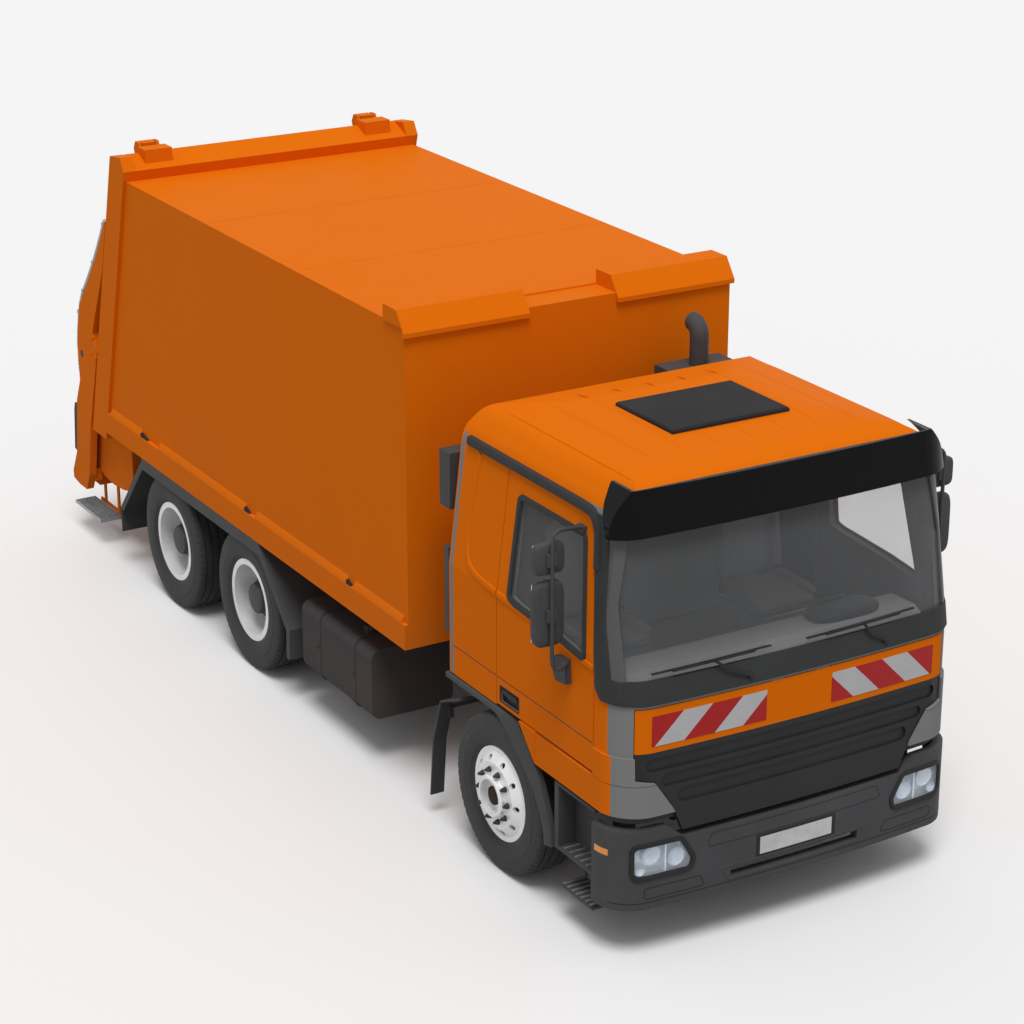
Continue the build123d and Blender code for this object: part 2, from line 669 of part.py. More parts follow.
# ---------------------------------------------------------------- tailgate
def joint_at(up):
    """Tailgate's front edge at a height, just behind the body's rear frame."""
    return frame_back_at(up) + gate_gap


gate_rear = [(7601, 2453), (7824, 2182), (7984, 2007), (8073, 1688), (8065, 1353), (8158, 1165), (8226, 700),
             (8335, 500), (8330, 440), (8200, 418)]
gate_under = [(8054, 419), (7980, 560)]
gate_side = ([(joint_at(2830), 2830), (7345, 2830)] + gate_rear + gate_under
             + [(joint_at(1000) + 40, 1000), (joint_at(1650) + 30, 1600), (joint_at(1650), 1690),
                (7740, 1830), (joint_at(2420), 2420)])
with BuildPart() as tailgate_sides:
    twin_plate(gate_side, gate_plate_outer - gate_plate, gate_plate_outer)
    # bearings of the packer blade's shaft
    twin_rod(tub_out - 20, gate_plate_outer - gate_plate + 5, blade_pivot_back, blade_pivot_up, 60)
    twin_rod(tub_out - 120, tub_out - 20, blade_pivot_back, blade_pivot_up, 34)
    # bearings of the bin lifter's shaft
    twin_rod(lifter_shaft_end - 60, gate_plate_outer - gate_plate + 5, lifter_back, lifter_up, 55)
    twin_rod(lifter_shaft_end - 61, lifter_shaft_end + 3, lifter_back, lifter_up,
             lifter_shaft_radius + fit_gap, mode=Mode.SUBTRACT)
save(tailgate_sides, "tailgate_sides")

cover_plate = 25.0
cover_outline = [(7345, 2830), (7601, 2453), (7824, 2182), (7984, 2007), (7984 - 8, 1975), (7805, 2160),
                 (7580, 2434), (7345 - 12, 2792), (joint_at(2792), 2792), (joint_at(2830), 2830)]
hinge_arm = [(hinge_back - 45, hinge_up + 45), (hinge_back + 45, hinge_up + 45), (hinge_back + 70, hinge_up - 60),
             (7440, 2900), (7440, 2700), (joint_at(2700) + 5, 2700), (joint_at(2900) + 5, 2900),
             (joint_at(3330) + 5, 3330), (hinge_back - 30, hinge_up - 35), (hinge_back - 45, hinge_up)]
arm_half = lug_half - 6
gate_half = gate_plate_outer - gate_plate
with BuildPart() as tailgate_cover:
    side_plate(cover_outline, -gate_half, gate_half)
    for side in sides.values():
        arm = sorted((side * hinge_out - arm_half, side * hinge_out + arm_half))
        side_plate(hinge_arm, arm[0], arm[1])
        cross_rod(arm[0] - 1, arm[1] + 1, hinge_back, hinge_up, hinge_pin_radius + fit_gap, mode=Mode.SUBTRACT)
        # head lug of the lift cylinder, beside the rod's eye
        lug = sorted((side * (hinge_out + arm_half), side * (cylinder_out - 60)))
        side_plate([(cylinder_head_back - 45, cylinder_head_up - 20), (cylinder_head_back - 20, cylinder_head_up - 45),
                    (cylinder_head_back + 150, cylinder_head_up - 45), (cylinder_head_back + 150, cylinder_head_up + 45),
                    (cylinder_head_back - 20, cylinder_head_up + 45), (cylinder_head_back - 45, cylinder_head_up + 20)],
                   lug[0], lug[1])
save(tailgate_cover, "tailgate_cover")


def arc_point(radius, angle):
    """Point on a circle about the packer blade's shaft; the angle is measured back from straight down."""
    return (blade_pivot_back + radius * sin(radians(angle)), blade_pivot_up - radius * cos(radians(angle)))


board_out = (1082.0, 1250.0)
board_front = 7780.0
board_back = 8330.0
board_up = 240.0
board_plate = 25.0
hanger_inner = board_out[0] - 34
hanger_outer = board_out[0] - 22
tub_front_angle = -degrees(asin((blade_pivot_back - tub_front) / tub_radius))
tub_rear_angle = 22.0
sill = (8158.0, 1165.0)
with BuildPart() as hopper_tub:
    with BuildSketch(side_plane(-tub_out)) as tub_section:
        with BuildLine():
            outer = ThreePointArc(arc_point(tub_radius, tub_front_angle), arc_point(tub_radius, 0),
                                  arc_point(tub_radius, tub_rear_angle))
            Polyline(outer @ 1, (8190, 760), sill, (sill[0] - tub_wall, sill[1]), (8163, 760),
                     arc_point(tub_radius - tub_wall, tub_rear_angle - 0.6))
            inner = ThreePointArc(arc_point(tub_radius - tub_wall, tub_rear_angle - 0.6),
                                  arc_point(tub_radius - tub_wall, 0),
                                  arc_point(tub_radius - tub_wall, tub_front_angle + 0.8))
            Polyline(inner @ 1, (tub_front + tub_wall, 1020), (tub_front, 1020), outer @ 0)
        make_face()
    extrude(tub_section.sketch, amount=2 * tub_out)
    # cheeks that close the tub against the side plates
    cheek = [(tub_front, 622), (tub_front, 1020), (joint_at(1020) + 30, 1020), (joint_at(1500) + 40, 1500),
             (8040, 1500), (8050, 1190), (8130, 1165), (8160, 760), (8120, 640), (7900, 562), (7715, 546),
             (7500, 566)]
    twin_plate(cheek, tub_out, tub_out + 15)
    side_plate([(8060, 430), (8180, 430), (8180, 700), (8120, 640)], -tub_out, tub_out)
    twin_plate([(7980, 1000), (8100, 1000), (8060, 1200), (7980, 1200)], tub_out + 15, gate_half)
    twin_plate([(8000, 500), (8160, 500), (8150, 600), (8000, 600)], tub_out, gate_half)
    # straps that hang the footboards
    for strap_back, strap_top in ((board_front + 60, 556), (board_back - 210, 435)):
        twin_slab(hanger_inner, hanger_outer, strap_back, strap_back + 40, board_up - 30, strap_top)
    twin_slab(hanger_inner, hanger_outer, board_front + 60, board_back - 90, board_up - 30, board_up + 20)
save(hopper_tub, "hopper_tub")

blade_length = tub_radius - tub_wall - 25
blade_section = [(-100, 70), (100, 70), (130, -120), (80, -570), (40, -blade_length),
                 (-60, 6 - blade_length), (-90, -570), (-120, -120)]
shoe_section = [(-100, -980), (80, -980), (40, -blade_length), (-60, 6 - blade_length)]
blade_outline = [(blade_pivot_back + back, blade_pivot_up + up) for back, up in blade_section]
shoe_outline = [(blade_pivot_back + back, blade_pivot_up + up) for back, up in shoe_section]
blade_out = 1080.0
with BuildPart() as blade:
    side_plate(blade_outline, -blade_out + 90, blade_out - 90)
    side_plate(shoe_outline, -blade_out - 20, blade_out + 20)
    cross_rod(-tub_out + 30, tub_out - 30, blade_pivot_back, blade_pivot_up, 62)
    twin_rod(tub_out - 130, tub_out, blade_pivot_back, blade_pivot_up, 34 + fit_gap, mode=Mode.SUBTRACT)
save(blade, "packer_blade")

lifter_arm = [(lifter_back - 20, lifter_up + 45), (lifter_back + 50, lifter_up + 30), (8290, 1080), (8320, 560),
              (8270, 560), (8240, 1040), (lifter_back - 10, lifter_up - 45), (lifter_back - 50, lifter_up)]
comb_teeth = 11
with BuildPart() as lifter:
    for arm_x in (-lifter_out, -360, 360, lifter_out):
        side_plate(lifter_arm, arm_x - 18, arm_x + 18)
    slab(-lifter_out, lifter_out, 8245, 8275, 560, 680)
    slab(-lifter_out, lifter_out, 8250, 8290, 960, 1060)
    with GridLocations(2 * lifter_out / comb_teeth, 1, comb_teeth, 1):
        with Locations((0, 8310 - origin_back, 1090)):
            Box(70, 26, 90)
    cross_rod(-lifter_shaft_end, lifter_shaft_end, lifter_back, lifter_up, lifter_shaft_radius)
    slab(-lifter_out, lifter_out, 8280, 8300, 1000, 1060)
save(lifter, "bin_lifter")

handrail_radius = 16.0
handrail_standoff = 48.0
edge_run = [(7345.0, 2830.0)] + [(float(back), float(up)) for back, up in gate_rear[:5]]


def beside(first, second, share, clear):
    """A point some way along an edge of the gate's outline, standing clear of it."""
    run = Vector(second[0] - first[0], second[1] - first[1], 0)
    off = Vector(-run.Y, run.X, 0).normalized() * clear
    return (first[0] + share * run.X + off.X, first[1] + share * run.Y + off.Y)


edges_of_run = list(zip(edge_run[:-1], edge_run[1:]))
with BuildPart() as handrails:
    for side in sides.values():
        plane = side_plane(side * (gate_plate_outer - 30))
        stations = [beside(*edges_of_run[0], 0.1, handrail_standoff)]
        stations += [beside(*edge, 0.97, handrail_standoff) for edge in edges_of_run[:-1]]
        stations += [beside(*edges_of_run[-1], 0.8, handrail_standoff)]
        with BuildLine(plane) as run:
            FilletPolyline(*stations, radius=60)
        with BuildSketch(Plane(origin=run.line @ 0, z_dir=run.line % 0)) as ring:
            Circle(handrail_radius)
        sweep(ring.sketch, path=run.line)
        for edge, share in zip(edges_of_run[:4], (0.2, 0.25, 0.5, 0.3)):
            start = plane.from_local_coords((*beside(*edge, share, handrail_standoff), 0))
            end = plane.from_local_coords((*beside(*edge, share, fit_gap), 0))
            with BuildSketch(Plane(origin=start, z_dir=end - start)) as leg:
                Circle(handrail_radius * 0.7)
            extrude(leg.sketch, amount=(end - start).length)
save(handrails, "tailgate_handrails")

lamp_outline_rear = [(8167, 1110), (8212, 1122), (8232, 1060), (8268, 715), (8226.5, 705)]
with BuildPart() as tail_lamps:
    twin_plate(lamp_outline_rear, tub_out + 15, gate_plate_outer)
save(tail_lamps, "tail_lamps")

for side_name, side in sides.items():
    with BuildPart() as footboard:
        reach = sorted((side * board_out[0], side * board_out[1]))
        slab(reach[0], reach[1], board_front, board_back, board_up - board_plate, board_up)
        ear = sorted((side * (hanger_outer + fit_gap), side * (board_out[0] + 1)))
        slab(ear[0], ear[1], board_front + 65, board_back - 95, board_up - 10, board_up)
    save(footboard, f"footboard_{side_name}")

# ---------------------------------------------------------------- tailgate lift cylinders
foot_point = Vector(0, cylinder_foot_back - origin_back, cylinder_foot_up)
head_point = Vector(0, cylinder_head_back - origin_back, cylinder_head_up)
stroke_line = (head_point - foot_point).normalized()
closed_length = (head_point - foot_point).length
barrel_length = closed_length - 110
barrel_start = 60.0
piston_depth = 210.0
barrel_wall = 12.0
with BuildPart() as barrels:
    for side in sides.values():
        base = foot_point + Vector(side * (cylinder_out - 30), 0, 0)
        plane = Plane(origin=base, x_dir=(1, 0, 0), z_dir=stroke_line)
        with BuildSketch(plane.offset(barrel_start)) as tube:
            Circle(barrel_radius)
        extrude(tube.sketch, amount=barrel_length - barrel_start)
        with BuildSketch(plane.offset(barrel_start + 40)) as bore:
            Circle(rod_radius + fit_gap)
        extrude(bore.sketch, amount=barrel_length, mode=Mode.SUBTRACT)
        eye = sorted((base.X - 28, base.X + 28))
        cross_rod(eye[0], eye[1], cylinder_foot_back, cylinder_foot_up, eye_radius)
        with BuildSketch(plane) as neck:
            Circle(30)
        extrude(neck.sketch, amount=barrel_start + 10)
        cross_rod(eye[0] - 5, eye[1] + 5, cylinder_foot_back, cylinder_foot_up, eye_pin_radius + fit_gap,
                  mode=Mode.SUBTRACT)
save(barrels, "lift_barrels")

with BuildPart() as rods:
    for side in sides.values():
        base = foot_point + Vector(side * (cylinder_out - 30), 0, 0)
        plane = Plane(origin=base, x_dir=(1, 0, 0), z_dir=stroke_line)
        with BuildSketch(plane.offset(barrel_start + 60)) as shaft:
            Circle(rod_radius)
        extrude(shaft.sketch, amount=closed_length - barrel_start - 60 - 20)
        cross_rod(base.X - 28, base.X + 28, cylinder_head_back, cylinder_head_up, eye_radius - 6)
save(rods, "lift_rods")


# ---------------------------------------------------------------- cab
cab_low_front = 785.0
corner_radius = 240.0
bow = 45.0                      # how far the front curves back at its corners
roof_shoulder = (985.0, cab_crown - 55)
brow = [(190.0, cab_crown - 130), (400.0, cab_crown - 35), (820.0, cab_crown)]
eaves_radius = 230.0
brow_radius = 700.0
roof_back_radius = 110.0


def cab_plan(inset, up):
    """The cab's rounded outline seen from above."""
    out = cab_out - inset
    nose = cab_nose + inset
    with BuildSketch(plan_plane(up)) as plan:
        with BuildLine():
            front = ThreePointArc((-out, nose + bow), (0, nose), (out, nose + bow))
            Polyline(front @ 1, (out, cab_back - inset), (-out, cab_back - inset), front @ 0)
        make_face()
        fillet(plan.vertices().group_by(Axis.Y)[0], corner_radius - inset)
    return plan.sketch


def cab_volume(inset):
    """The cab's outer form, or the room inside it once inset by a wall."""
    rise = cab_crown + 100 - windscreen_foot
    with BuildPart() as form:
        extrude(cab_plan(inset, 0), amount=windscreen_foot)
        extrude(cab_plan(inset, windscreen_foot), amount=rise, dir=(0, windscreen_lean, 1))
        # upright back, where the leaning part would run on
        slab(-cab_out + inset, cab_out - inset, 1400, cab_back - inset, 0, cab_crown)
        slab(-cab_out, cab_out, cab_back - inset, cab_back + 600, -10, cab_crown + 200, mode=Mode.SUBTRACT)
        with BuildSketch(front_plane(cab_back + 50)) as section:
            with BuildLine():
                Polyline(*mirrored([(cab_out, -10), (cab_out, cab_waist), (cab_eaves_out, cab_eaves),
                                    roof_shoulder, (cab_crown_flat, cab_crown)]), close=True)
            make_face()
            fillet(section.vertices().filter_by(lambda corner: corner.Y > cab_eaves - 1 and
                                                abs(corner.X) > cab_crown_flat + 1), eaves_radius)
            offset(amount=-inset, kind=Kind.INTERSECTION)
        extrude(section.sketch, amount=cab_back + 200, mode=Mode.INTERSECT)
        with BuildSketch(side_plane(-cab_out - 10)) as profile:
            with BuildLine():
                Polyline((-300, -20), (-300, brow[0][1] - 250), brow[0], brow[1], brow[2], (1600, cab_crown),
                         (cab_back - 60, cab_crown - 55), (cab_back + 20, cab_eaves), (cab_back + 20, -20), close=True)
            make_face()
            fillet(profile.vertices().filter_by(lambda corner: abs(corner.X - brow[1][0]) < 1), brow_radius)
            fillet(profile.vertices().filter_by(lambda corner: abs(corner.X - cab_back + 60) < 1), roof_back_radius)
            offset(amount=-inset, kind=Kind.INTERSECTION)
        extrude(profile.sketch, amount=2 * cab_out + 20, mode=Mode.INTERSECT)
    return form.part


cab_outer = cab_volume(0)
cab_inner = cab_volume(cab_wall)
cab_trim = cab_volume(30.0)
with BuildPart() as cab_skin:
    add(cab_outer)
    add(cab_inner, mode=Mode.SUBTRACT)
with BuildPart() as cab_panel_skin:
    add(cab_outer)
    add(cab_trim, mode=Mode.SUBTRACT)
with BuildPart() as glass_skin:
    add(cab_volume(glass_inset))
    add(cab_volume(glass_inset + glass_thickness), mode=Mode.SUBTRACT)

door_low = 1135.0
door_top = cab_eaves - 60
window_top = door_top - 130
door_outline = [(350, door_low), (350, cab_waist - 50), (508, door_top), (1445, door_top), (1445, door_low)]
window_outline = [(445, 1800), (572, window_top), (1300, window_top), (1310, 1880), (1240, 1862), (760, 1835)]


def grown(points, amount):
    """A side outline moved outward by an amount, as a face at the middle plane."""
    with BuildSketch(side_plane(0)) as drawn:
        with BuildLine():
            Polyline(*points, close=True)
        make_face()
        offset(amount=amount, kind=Kind.INTERSECTION)
    return drawn.sketch


def region(face, x_low, x_high):
    """A side outline made solid between two x, to cut a piece out of the cab's skin."""
    with BuildPart() as cut:
        extrude(face, amount=cab_out + 200, both=True)
        with BuildPart(mode=Mode.PRIVATE) as band:
            slab(x_low, x_high, -500, 3000, -100, 4000)
        add(band.part, mode=Mode.INTERSECT)
    return cut.part


handle_run = (1180, 1410)
handle_heights = (1160, 1270)
handle_depth = 28.0
floor_top = cab_floor_up + 22
bulkhead_back = 215.0
half_spaces = {"right": (-2000.0, -600.0), "left": (600.0, 2000.0)}
for side_name, side in sides.items():
    x_low, x_high = half_spaces[side_name]
    with BuildPart() as door:
        add(cab_skin.part)
        add(region(grown(door_outline, 0), x_low, x_high), mode=Mode.INTERSECT)
        add(region(grown(window_outline, 0), x_low, x_high), mode=Mode.SUBTRACT)
        recess = sorted((side * (cab_out - handle_depth), side * (cab_out + 10)))
        slab(recess[0], recess[1], *handle_run, *handle_heights, mode=Mode.SUBTRACT)
    save(door, f"door_{side_name}")
    with BuildPart() as door_glass:
        add(glass_skin.part)
        add(region(grown(window_outline, 0), x_low, x_high), mode=Mode.INTERSECT)
    save(door_glass, f"door_glass_{side_name}")

sill_free = [(back, door_low - 300 if up == door_low else up) for back, up in door_outline]
door_holes = region(grown(sill_free, panel_gap), -2000, 2000)
windscreen_outline = mirrored([(1140, windscreen_foot + 85), (1145, 2200), (1050, cab_eaves - 20)])
cut_front = 335.0
with BuildPart() as cab_sides:
    add(cab_skin.part)
    add(door_holes, mode=Mode.SUBTRACT)
    with BuildPart(mode=Mode.PRIVATE) as band:
        slab(-cab_out, cab_out, 600, cab_back - cab_wall, door_low - 15, cab_eaves)
    add(band.part, mode=Mode.INTERSECT)
save(cab_sides, "cab_sides")

with BuildPart() as cab_rear_wall:
    add(cab_skin.part)
    with BuildPart(mode=Mode.PRIVATE) as band:
        slab(-cab_out, cab_out, cab_back - cab_wall, cab_back, door_low - 15, cab_eaves)
    add(band.part, mode=Mode.INTERSECT)
save(cab_rear_wall, "cab_rear_wall")

hatch_front = 790.0
hatch_back = 1400.0
hatch_half = 420.0
hatch_lip = 45.0
with BuildPart() as cab_roof_part:
    add(cab_skin.part)
    with BuildPart(mode=Mode.PRIVATE) as band:
        slab(-cab_out, cab_out, -100, cab_back, cab_eaves, cab_crown + 100)
    add(band.part, mode=Mode.INTERSECT)
    # raised curb around the opening, on which the lid lies
    slab(-hatch_half + 10, hatch_half - 10, hatch_front + 10, hatch_back - 10, cab_crown - cab_wall - 10, cab_crown)
    slab(-hatch_half + hatch_lip, hatch_half - hatch_lip, hatch_front + hatch_lip, hatch_back - hatch_lip,
         cab_eaves, cab_crown + 100, mode=Mode.SUBTRACT)
save(cab_roof_part, "cab_roof")

with BuildPart() as roof_hatch:
    slab(-hatch_half, hatch_half, hatch_front, hatch_back, cab_crown + fit_gap, cab_crown + 26)
    chamfer(roof_hatch.faces().sort_by(Axis.Z)[-1].edges(), 10)
save(roof_hatch, "roof_hatch")

with BuildPart() as windscreen:
    add(glass_skin.part)
    with BuildPart(mode=Mode.PRIVATE) as pane:
        front_plate(windscreen_outline, -200, 500)
    add(pane.part, mode=Mode.INTERSECT)
save(windscreen, "windscreen")

flap_half = 1105.0
flap_low_edge = 1322.0
flap_high_edge = 1597.0
with BuildPart() as front_flap:
    add(cab_panel_skin.part)
    with BuildPart(mode=Mode.PRIVATE) as panel:
        front_plate([(-flap_half, flap_low_edge), (flap_half, flap_low_edge), (flap_half, flap_high_edge),
                     (-flap_half, flap_high_edge)], -200, 200)
    add(panel.part, mode=Mode.INTERSECT)
save(front_flap, "front_flap")

grille_points = [(flap_half, flap_low_edge), (flap_half - 3, 1160), (985, 1135), (860, 950), (790, cab_low_front)]
trench_depth = 14.0
trenches = [(1200, 1285, 1040), (1090, 1172, 940), (968, 1062, 830)]     # lower edge, upper edge, half width
with BuildPart() as grille:
    add(cab_panel_skin.part)
    with BuildPart(mode=Mode.PRIVATE) as panel:
        front_plate(mirrored(grille_points), -200, 200)
    add(panel.part, mode=Mode.INTERSECT)
    with BuildPart(mode=Mode.PRIVATE) as louvres:
        with BuildSketch(front_plane(200)) as slots:
            for low, high, half in trenches:
                with Locations((0, (low + high) / 2)):
                    SlotOverall(2 * half, high - low)
        extrude(slots.sketch, amount=400)
        add(cab_volume(trench_depth), mode=Mode.SUBTRACT)
    add(louvres.part, mode=Mode.SUBTRACT)
save(grille, "grille")

corner_gap = 6.0
tier_proud = 14.0
tier_seam = 1120.0
tier_top = 1298.0
corner_back = 342.0
band_back = 985.0
with BuildPart() as corner_panels:
    add(cab_volume(-tier_proud))
    add(cab_trim, mode=Mode.SUBTRACT)
    with BuildPart(mode=Mode.PRIVATE) as panel:
        slab(-cab_out - tier_proud, cab_out + tier_proud, -100, corner_back, cab_low, tier_seam - 2)
        slab(-cab_out - tier_proud, cab_out + tier_proud, -100, corner_back, tier_seam + 2, tier_top)
        slab(-cab_out - tier_proud, cab_out + tier_proud, corner_back, band_back, cab_low, tier_seam - 2)
    add(panel.part, mode=Mode.INTERSECT)
    with BuildPart(mode=Mode.PRIVATE) as plain:
        add(cab_panel_skin.part)
        with BuildPart(mode=Mode.PRIVATE) as wall_zone:
            slab(-cab_out, cab_out, -100, corner_back, cab_low, windscreen_foot)
        add(wall_zone.part, mode=Mode.INTERSECT)
    add(plain.part)
    with BuildPart(mode=Mode.PRIVATE) as front_hole:
        with BuildSketch(front_plane(250)) as hole:
            with BuildLine():
                Polyline(*mirrored([(flap_half, flap_high_edge)] + grille_points), close=True)
            make_face()
            offset(amount=corner_gap, kind=Kind.INTERSECTION)
        extrude(hole.sketch, amount=500)
    add(front_hole.part, mode=Mode.SUBTRACT)

with BuildPart() as cab_front:
    add(cab_skin.part)
    add(door_holes, mode=Mode.SUBTRACT)
    with BuildPart(mode=Mode.PRIVATE) as band:
        slab(-cab_out, cab_out, -100, 600, windscreen_foot - 25, cab_eaves)
    add(band.part, mode=Mode.INTERSECT)
    front_plate(windscreen_outline, -200, 500, mode=Mode.SUBTRACT)
    add(corner_panels.part)
    # inner front wall behind the flap, joined to the cowl
    slab(-1050, 1050, bulkhead_back - 25, bulkhead_back, floor_top, windscreen_foot)
    slab(-1050, 1050, 60, bulkhead_back, windscreen_foot - 25, windscreen_foot)
    # hinges that carry the front flap, and those of the doors
    twin_slab(120, 200, cab_nose + 3, cab_nose + 30, flap_high_edge + fit_gap, windscreen_foot)
    for hinge_low in (1220, 1500):
        twin_slab(cab_out - 28, cab_out - 5, 335, door_outline[0][0] - fit_gap, hinge_low, hinge_low + 80)
save(cab_front, "cab_front")

pivot_ear = [(tilt_back - 45, tilt_up + 10), (tilt_back - 20, tilt_up - 42), (tilt_back + 30, tilt_up - 40),
             (tilt_back + 330, cab_floor_up), (tilt_back - 10, cab_floor_up)]
with BuildPart() as cab_floor:
    add(cab_volume(cab_wall))
    with BuildPart(mode=Mode.PRIVATE) as floor_band:
        slab(-cab_out, cab_out, bulkhead_back, cab_back, cab_floor_up, floor_top)
    add(floor_band.part, mode=Mode.INTERSECT)
    twin_slab(cab_out - cab_wall - 10, cab_out, 300, 1445 + panel_gap, 0, 2000, mode=Mode.SUBTRACT)
    twin_plate(pivot_ear, tilt_arm[1] + 8, tilt_arm[1] + 38)
    twin_rod(tilt_arm[1] + 7, tilt_arm[1] + 39, tilt_back, tilt_up, tilt_pin_radius + fit_gap, mode=Mode.SUBTRACT)
save(cab_floor, "cab_floor")

visor_gap = 55.0
visor_low = cab_eaves - 110
visor_high = cab_crown - 60
visor_low_back = 300.0
visor_high_back = 450.0
with BuildPart() as sun_visor:
    add(cab_volume(-visor_gap))
    add(cab_volume(-visor_gap + 12), mode=Mode.SUBTRACT)
    with BuildPart(mode=Mode.PRIVATE) as band:
        side_plate([(-200, visor_low), (visor_low_back, visor_low), (visor_high_back, visor_high),
                    (-200, visor_high)], -cab_out - 100, cab_out + 100)
    add(band.part, mode=Mode.INTERSECT)
    with BuildPart(mode=Mode.PRIVATE) as brackets:
        add(cab_volume(-visor_gap + 6))
        with BuildPart(mode=Mode.PRIVATE) as bands:
            for bracket_x in (-800, 0, 800):
                slab(bracket_x - 15, bracket_x + 15, -200, 330, cab_eaves + 10, cab_eaves + 50)
        add(bands.part, mode=Mode.INTERSECT)
        add(cab_outer, mode=Mode.SUBTRACT)
    add(brackets.part)
save(sun_visor, "sun_visor")

with BuildPart() as dashboard:
    side_plate([(bulkhead_back, 1450), (bulkhead_back, 1640), (330, 1700), (560, 1690), (640, 1560), (600, 1420)],
               -1080, 1080)
    # steering column and wheel on the left
    with BuildSketch(Plane(origin=(560, 700 - origin_back, 1640), z_dir=(0, 0.55, 1))) as wheel_plane:
        Circle(225)
        Circle(200, mode=Mode.SUBTRACT)
        Rectangle(420, 40)
        Circle(60)
    extrude(wheel_plane.sketch, amount=24)
    with BuildSketch(Plane(origin=(560, 700 - origin_back, 1640), z_dir=(0, -0.55, -1))) as column:
        Circle(40)
    extrude(column.sketch, amount=200)
save(dashboard, "dashboard")

seat_front = 980.0
with BuildPart() as seats:
    for seat_x in (-620, 620):
        slab(seat_x - 200, seat_x + 200, seat_front + 60, seat_front + 440, floor_top, 1480)
        slab(seat_x - 240, seat_x + 240, seat_front, seat_front + 500, 1480, 1610)
        side_plate([(seat_front + 420, 1560), (seat_front + 540, 1560), (seat_front + 640, 2250),
                    (seat_front + 540, 2250)], seat_x - 230, seat_x + 230)
save(seats, "seats")

mirror_out = 1400.0
mirror_arm_back = 500.0
mirror_arm = 28.0
mirror_foot = 1740.0
mirror_head = door_top - 48.0
for side_name, side in sides.items():
    with BuildPart() as mirror:
        centre_x = side * mirror_out
        span = sorted((centre_x - 100, centre_x + 100))
        arm_end = mirror_arm_back + mirror_arm
        slab(span[0], span[1], arm_end, arm_end + 80, 1885, 2285)
        slab(span[0], span[1], arm_end, arm_end + 70, 2330, 2520)
        slab(centre_x - 14, centre_x + 14, mirror_arm_back, arm_end, mirror_foot, mirror_head + mirror_arm)
        for arm_low in (mirror_foot, mirror_head):
            reach = sorted((side * (cab_out - 170), centre_x))
            slab(reach[0], reach[1], mirror_arm_back, arm_end, arm_low, arm_low + mirror_arm)
        add(cab_outer, mode=Mode.SUBTRACT)
    save(mirror, f"mirror_{side_name}")
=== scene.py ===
# %% [markdown]
# # Dressing a refuse collection truck
#
# The truck's construction comes from CAD, in metres, with +Z up and the cab facing -Y.  This lesson
# gives it the finishes and the fine pieces that a maker would add last: treads, seals, stripes,
# lamps, seats and so on.  Nothing from CAD is moved; every new piece is placed from its boxes.

import json
import math

import bmesh
import bpy
import numpy as np
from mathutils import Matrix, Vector


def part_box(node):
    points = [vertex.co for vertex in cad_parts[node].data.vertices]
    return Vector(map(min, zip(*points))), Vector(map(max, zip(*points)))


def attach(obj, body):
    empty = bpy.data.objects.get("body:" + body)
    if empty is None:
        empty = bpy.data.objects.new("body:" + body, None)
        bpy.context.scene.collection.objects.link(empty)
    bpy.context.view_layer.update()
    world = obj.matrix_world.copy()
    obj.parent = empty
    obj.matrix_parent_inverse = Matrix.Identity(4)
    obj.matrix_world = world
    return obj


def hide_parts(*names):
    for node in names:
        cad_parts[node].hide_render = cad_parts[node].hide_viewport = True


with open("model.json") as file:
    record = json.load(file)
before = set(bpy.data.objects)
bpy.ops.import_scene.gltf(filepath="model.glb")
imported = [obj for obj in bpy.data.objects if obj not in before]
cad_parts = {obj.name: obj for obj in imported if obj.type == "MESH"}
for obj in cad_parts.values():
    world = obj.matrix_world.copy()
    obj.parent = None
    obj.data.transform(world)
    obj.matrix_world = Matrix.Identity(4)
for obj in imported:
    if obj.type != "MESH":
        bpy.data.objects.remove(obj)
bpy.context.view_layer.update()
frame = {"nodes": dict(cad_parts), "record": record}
nodes = frame["nodes"]

# %% [markdown]
# Lengths along the truck are easiest to read from the bumper's front, so `at(back)` turns such a
# distance into the frame's y.  The other datum values come from boxes of CAD nodes.

# %% Datum values
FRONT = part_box("bumper")[0].y
CAB_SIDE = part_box("cab_sides")[1].x
CAB_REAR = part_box("cab_rear_wall")[1].y
SIDES = {"right": -1.0, "left": 1.0}


def at(back):
    """The y of a place that lies `back` metres behind the bumper's front: the front's y plus back."""
    return FRONT + back


def box_of(node):
    """A CAD node's lowest and highest corners as two arrays."""
    low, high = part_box(node)
    return np.array(low), np.array(high)


def centre_of(node):
    """The middle of a node's box."""
    low, high = box_of(node)
    return (low + high) / 2


print("front at y", round(FRONT, 4))

# %% [markdown]
# ## Surfaces from arrays
#
# Most new pieces are grids: points worked out for two parameters at once, and quads between
# neighbours.  A grid may close on itself in either direction, and its open ends may be capped.

# %% Mesh helpers
SHARP = math.radians(38)
EDGE_ROUND = 0.003


def mesh_piece(name, points, faces, smooth=True):
    """An object from an (n, 3) array of points and a list of faces, with sharp edges kept flat."""
    mesh = bpy.data.meshes.new(name)
    mesh.from_pydata(np.asarray(points, float).tolist(), [], [list(map(int, face)) for face in faces])
    mesh.polygons.foreach_set("use_smooth", [smooth] * len(mesh.polygons))
    if smooth:
        mesh.set_sharp_from_angle(angle=SHARP)
    mesh.update()
    piece = bpy.data.objects.new(name, mesh)
    bpy.context.scene.collection.objects.link(piece)
    return piece


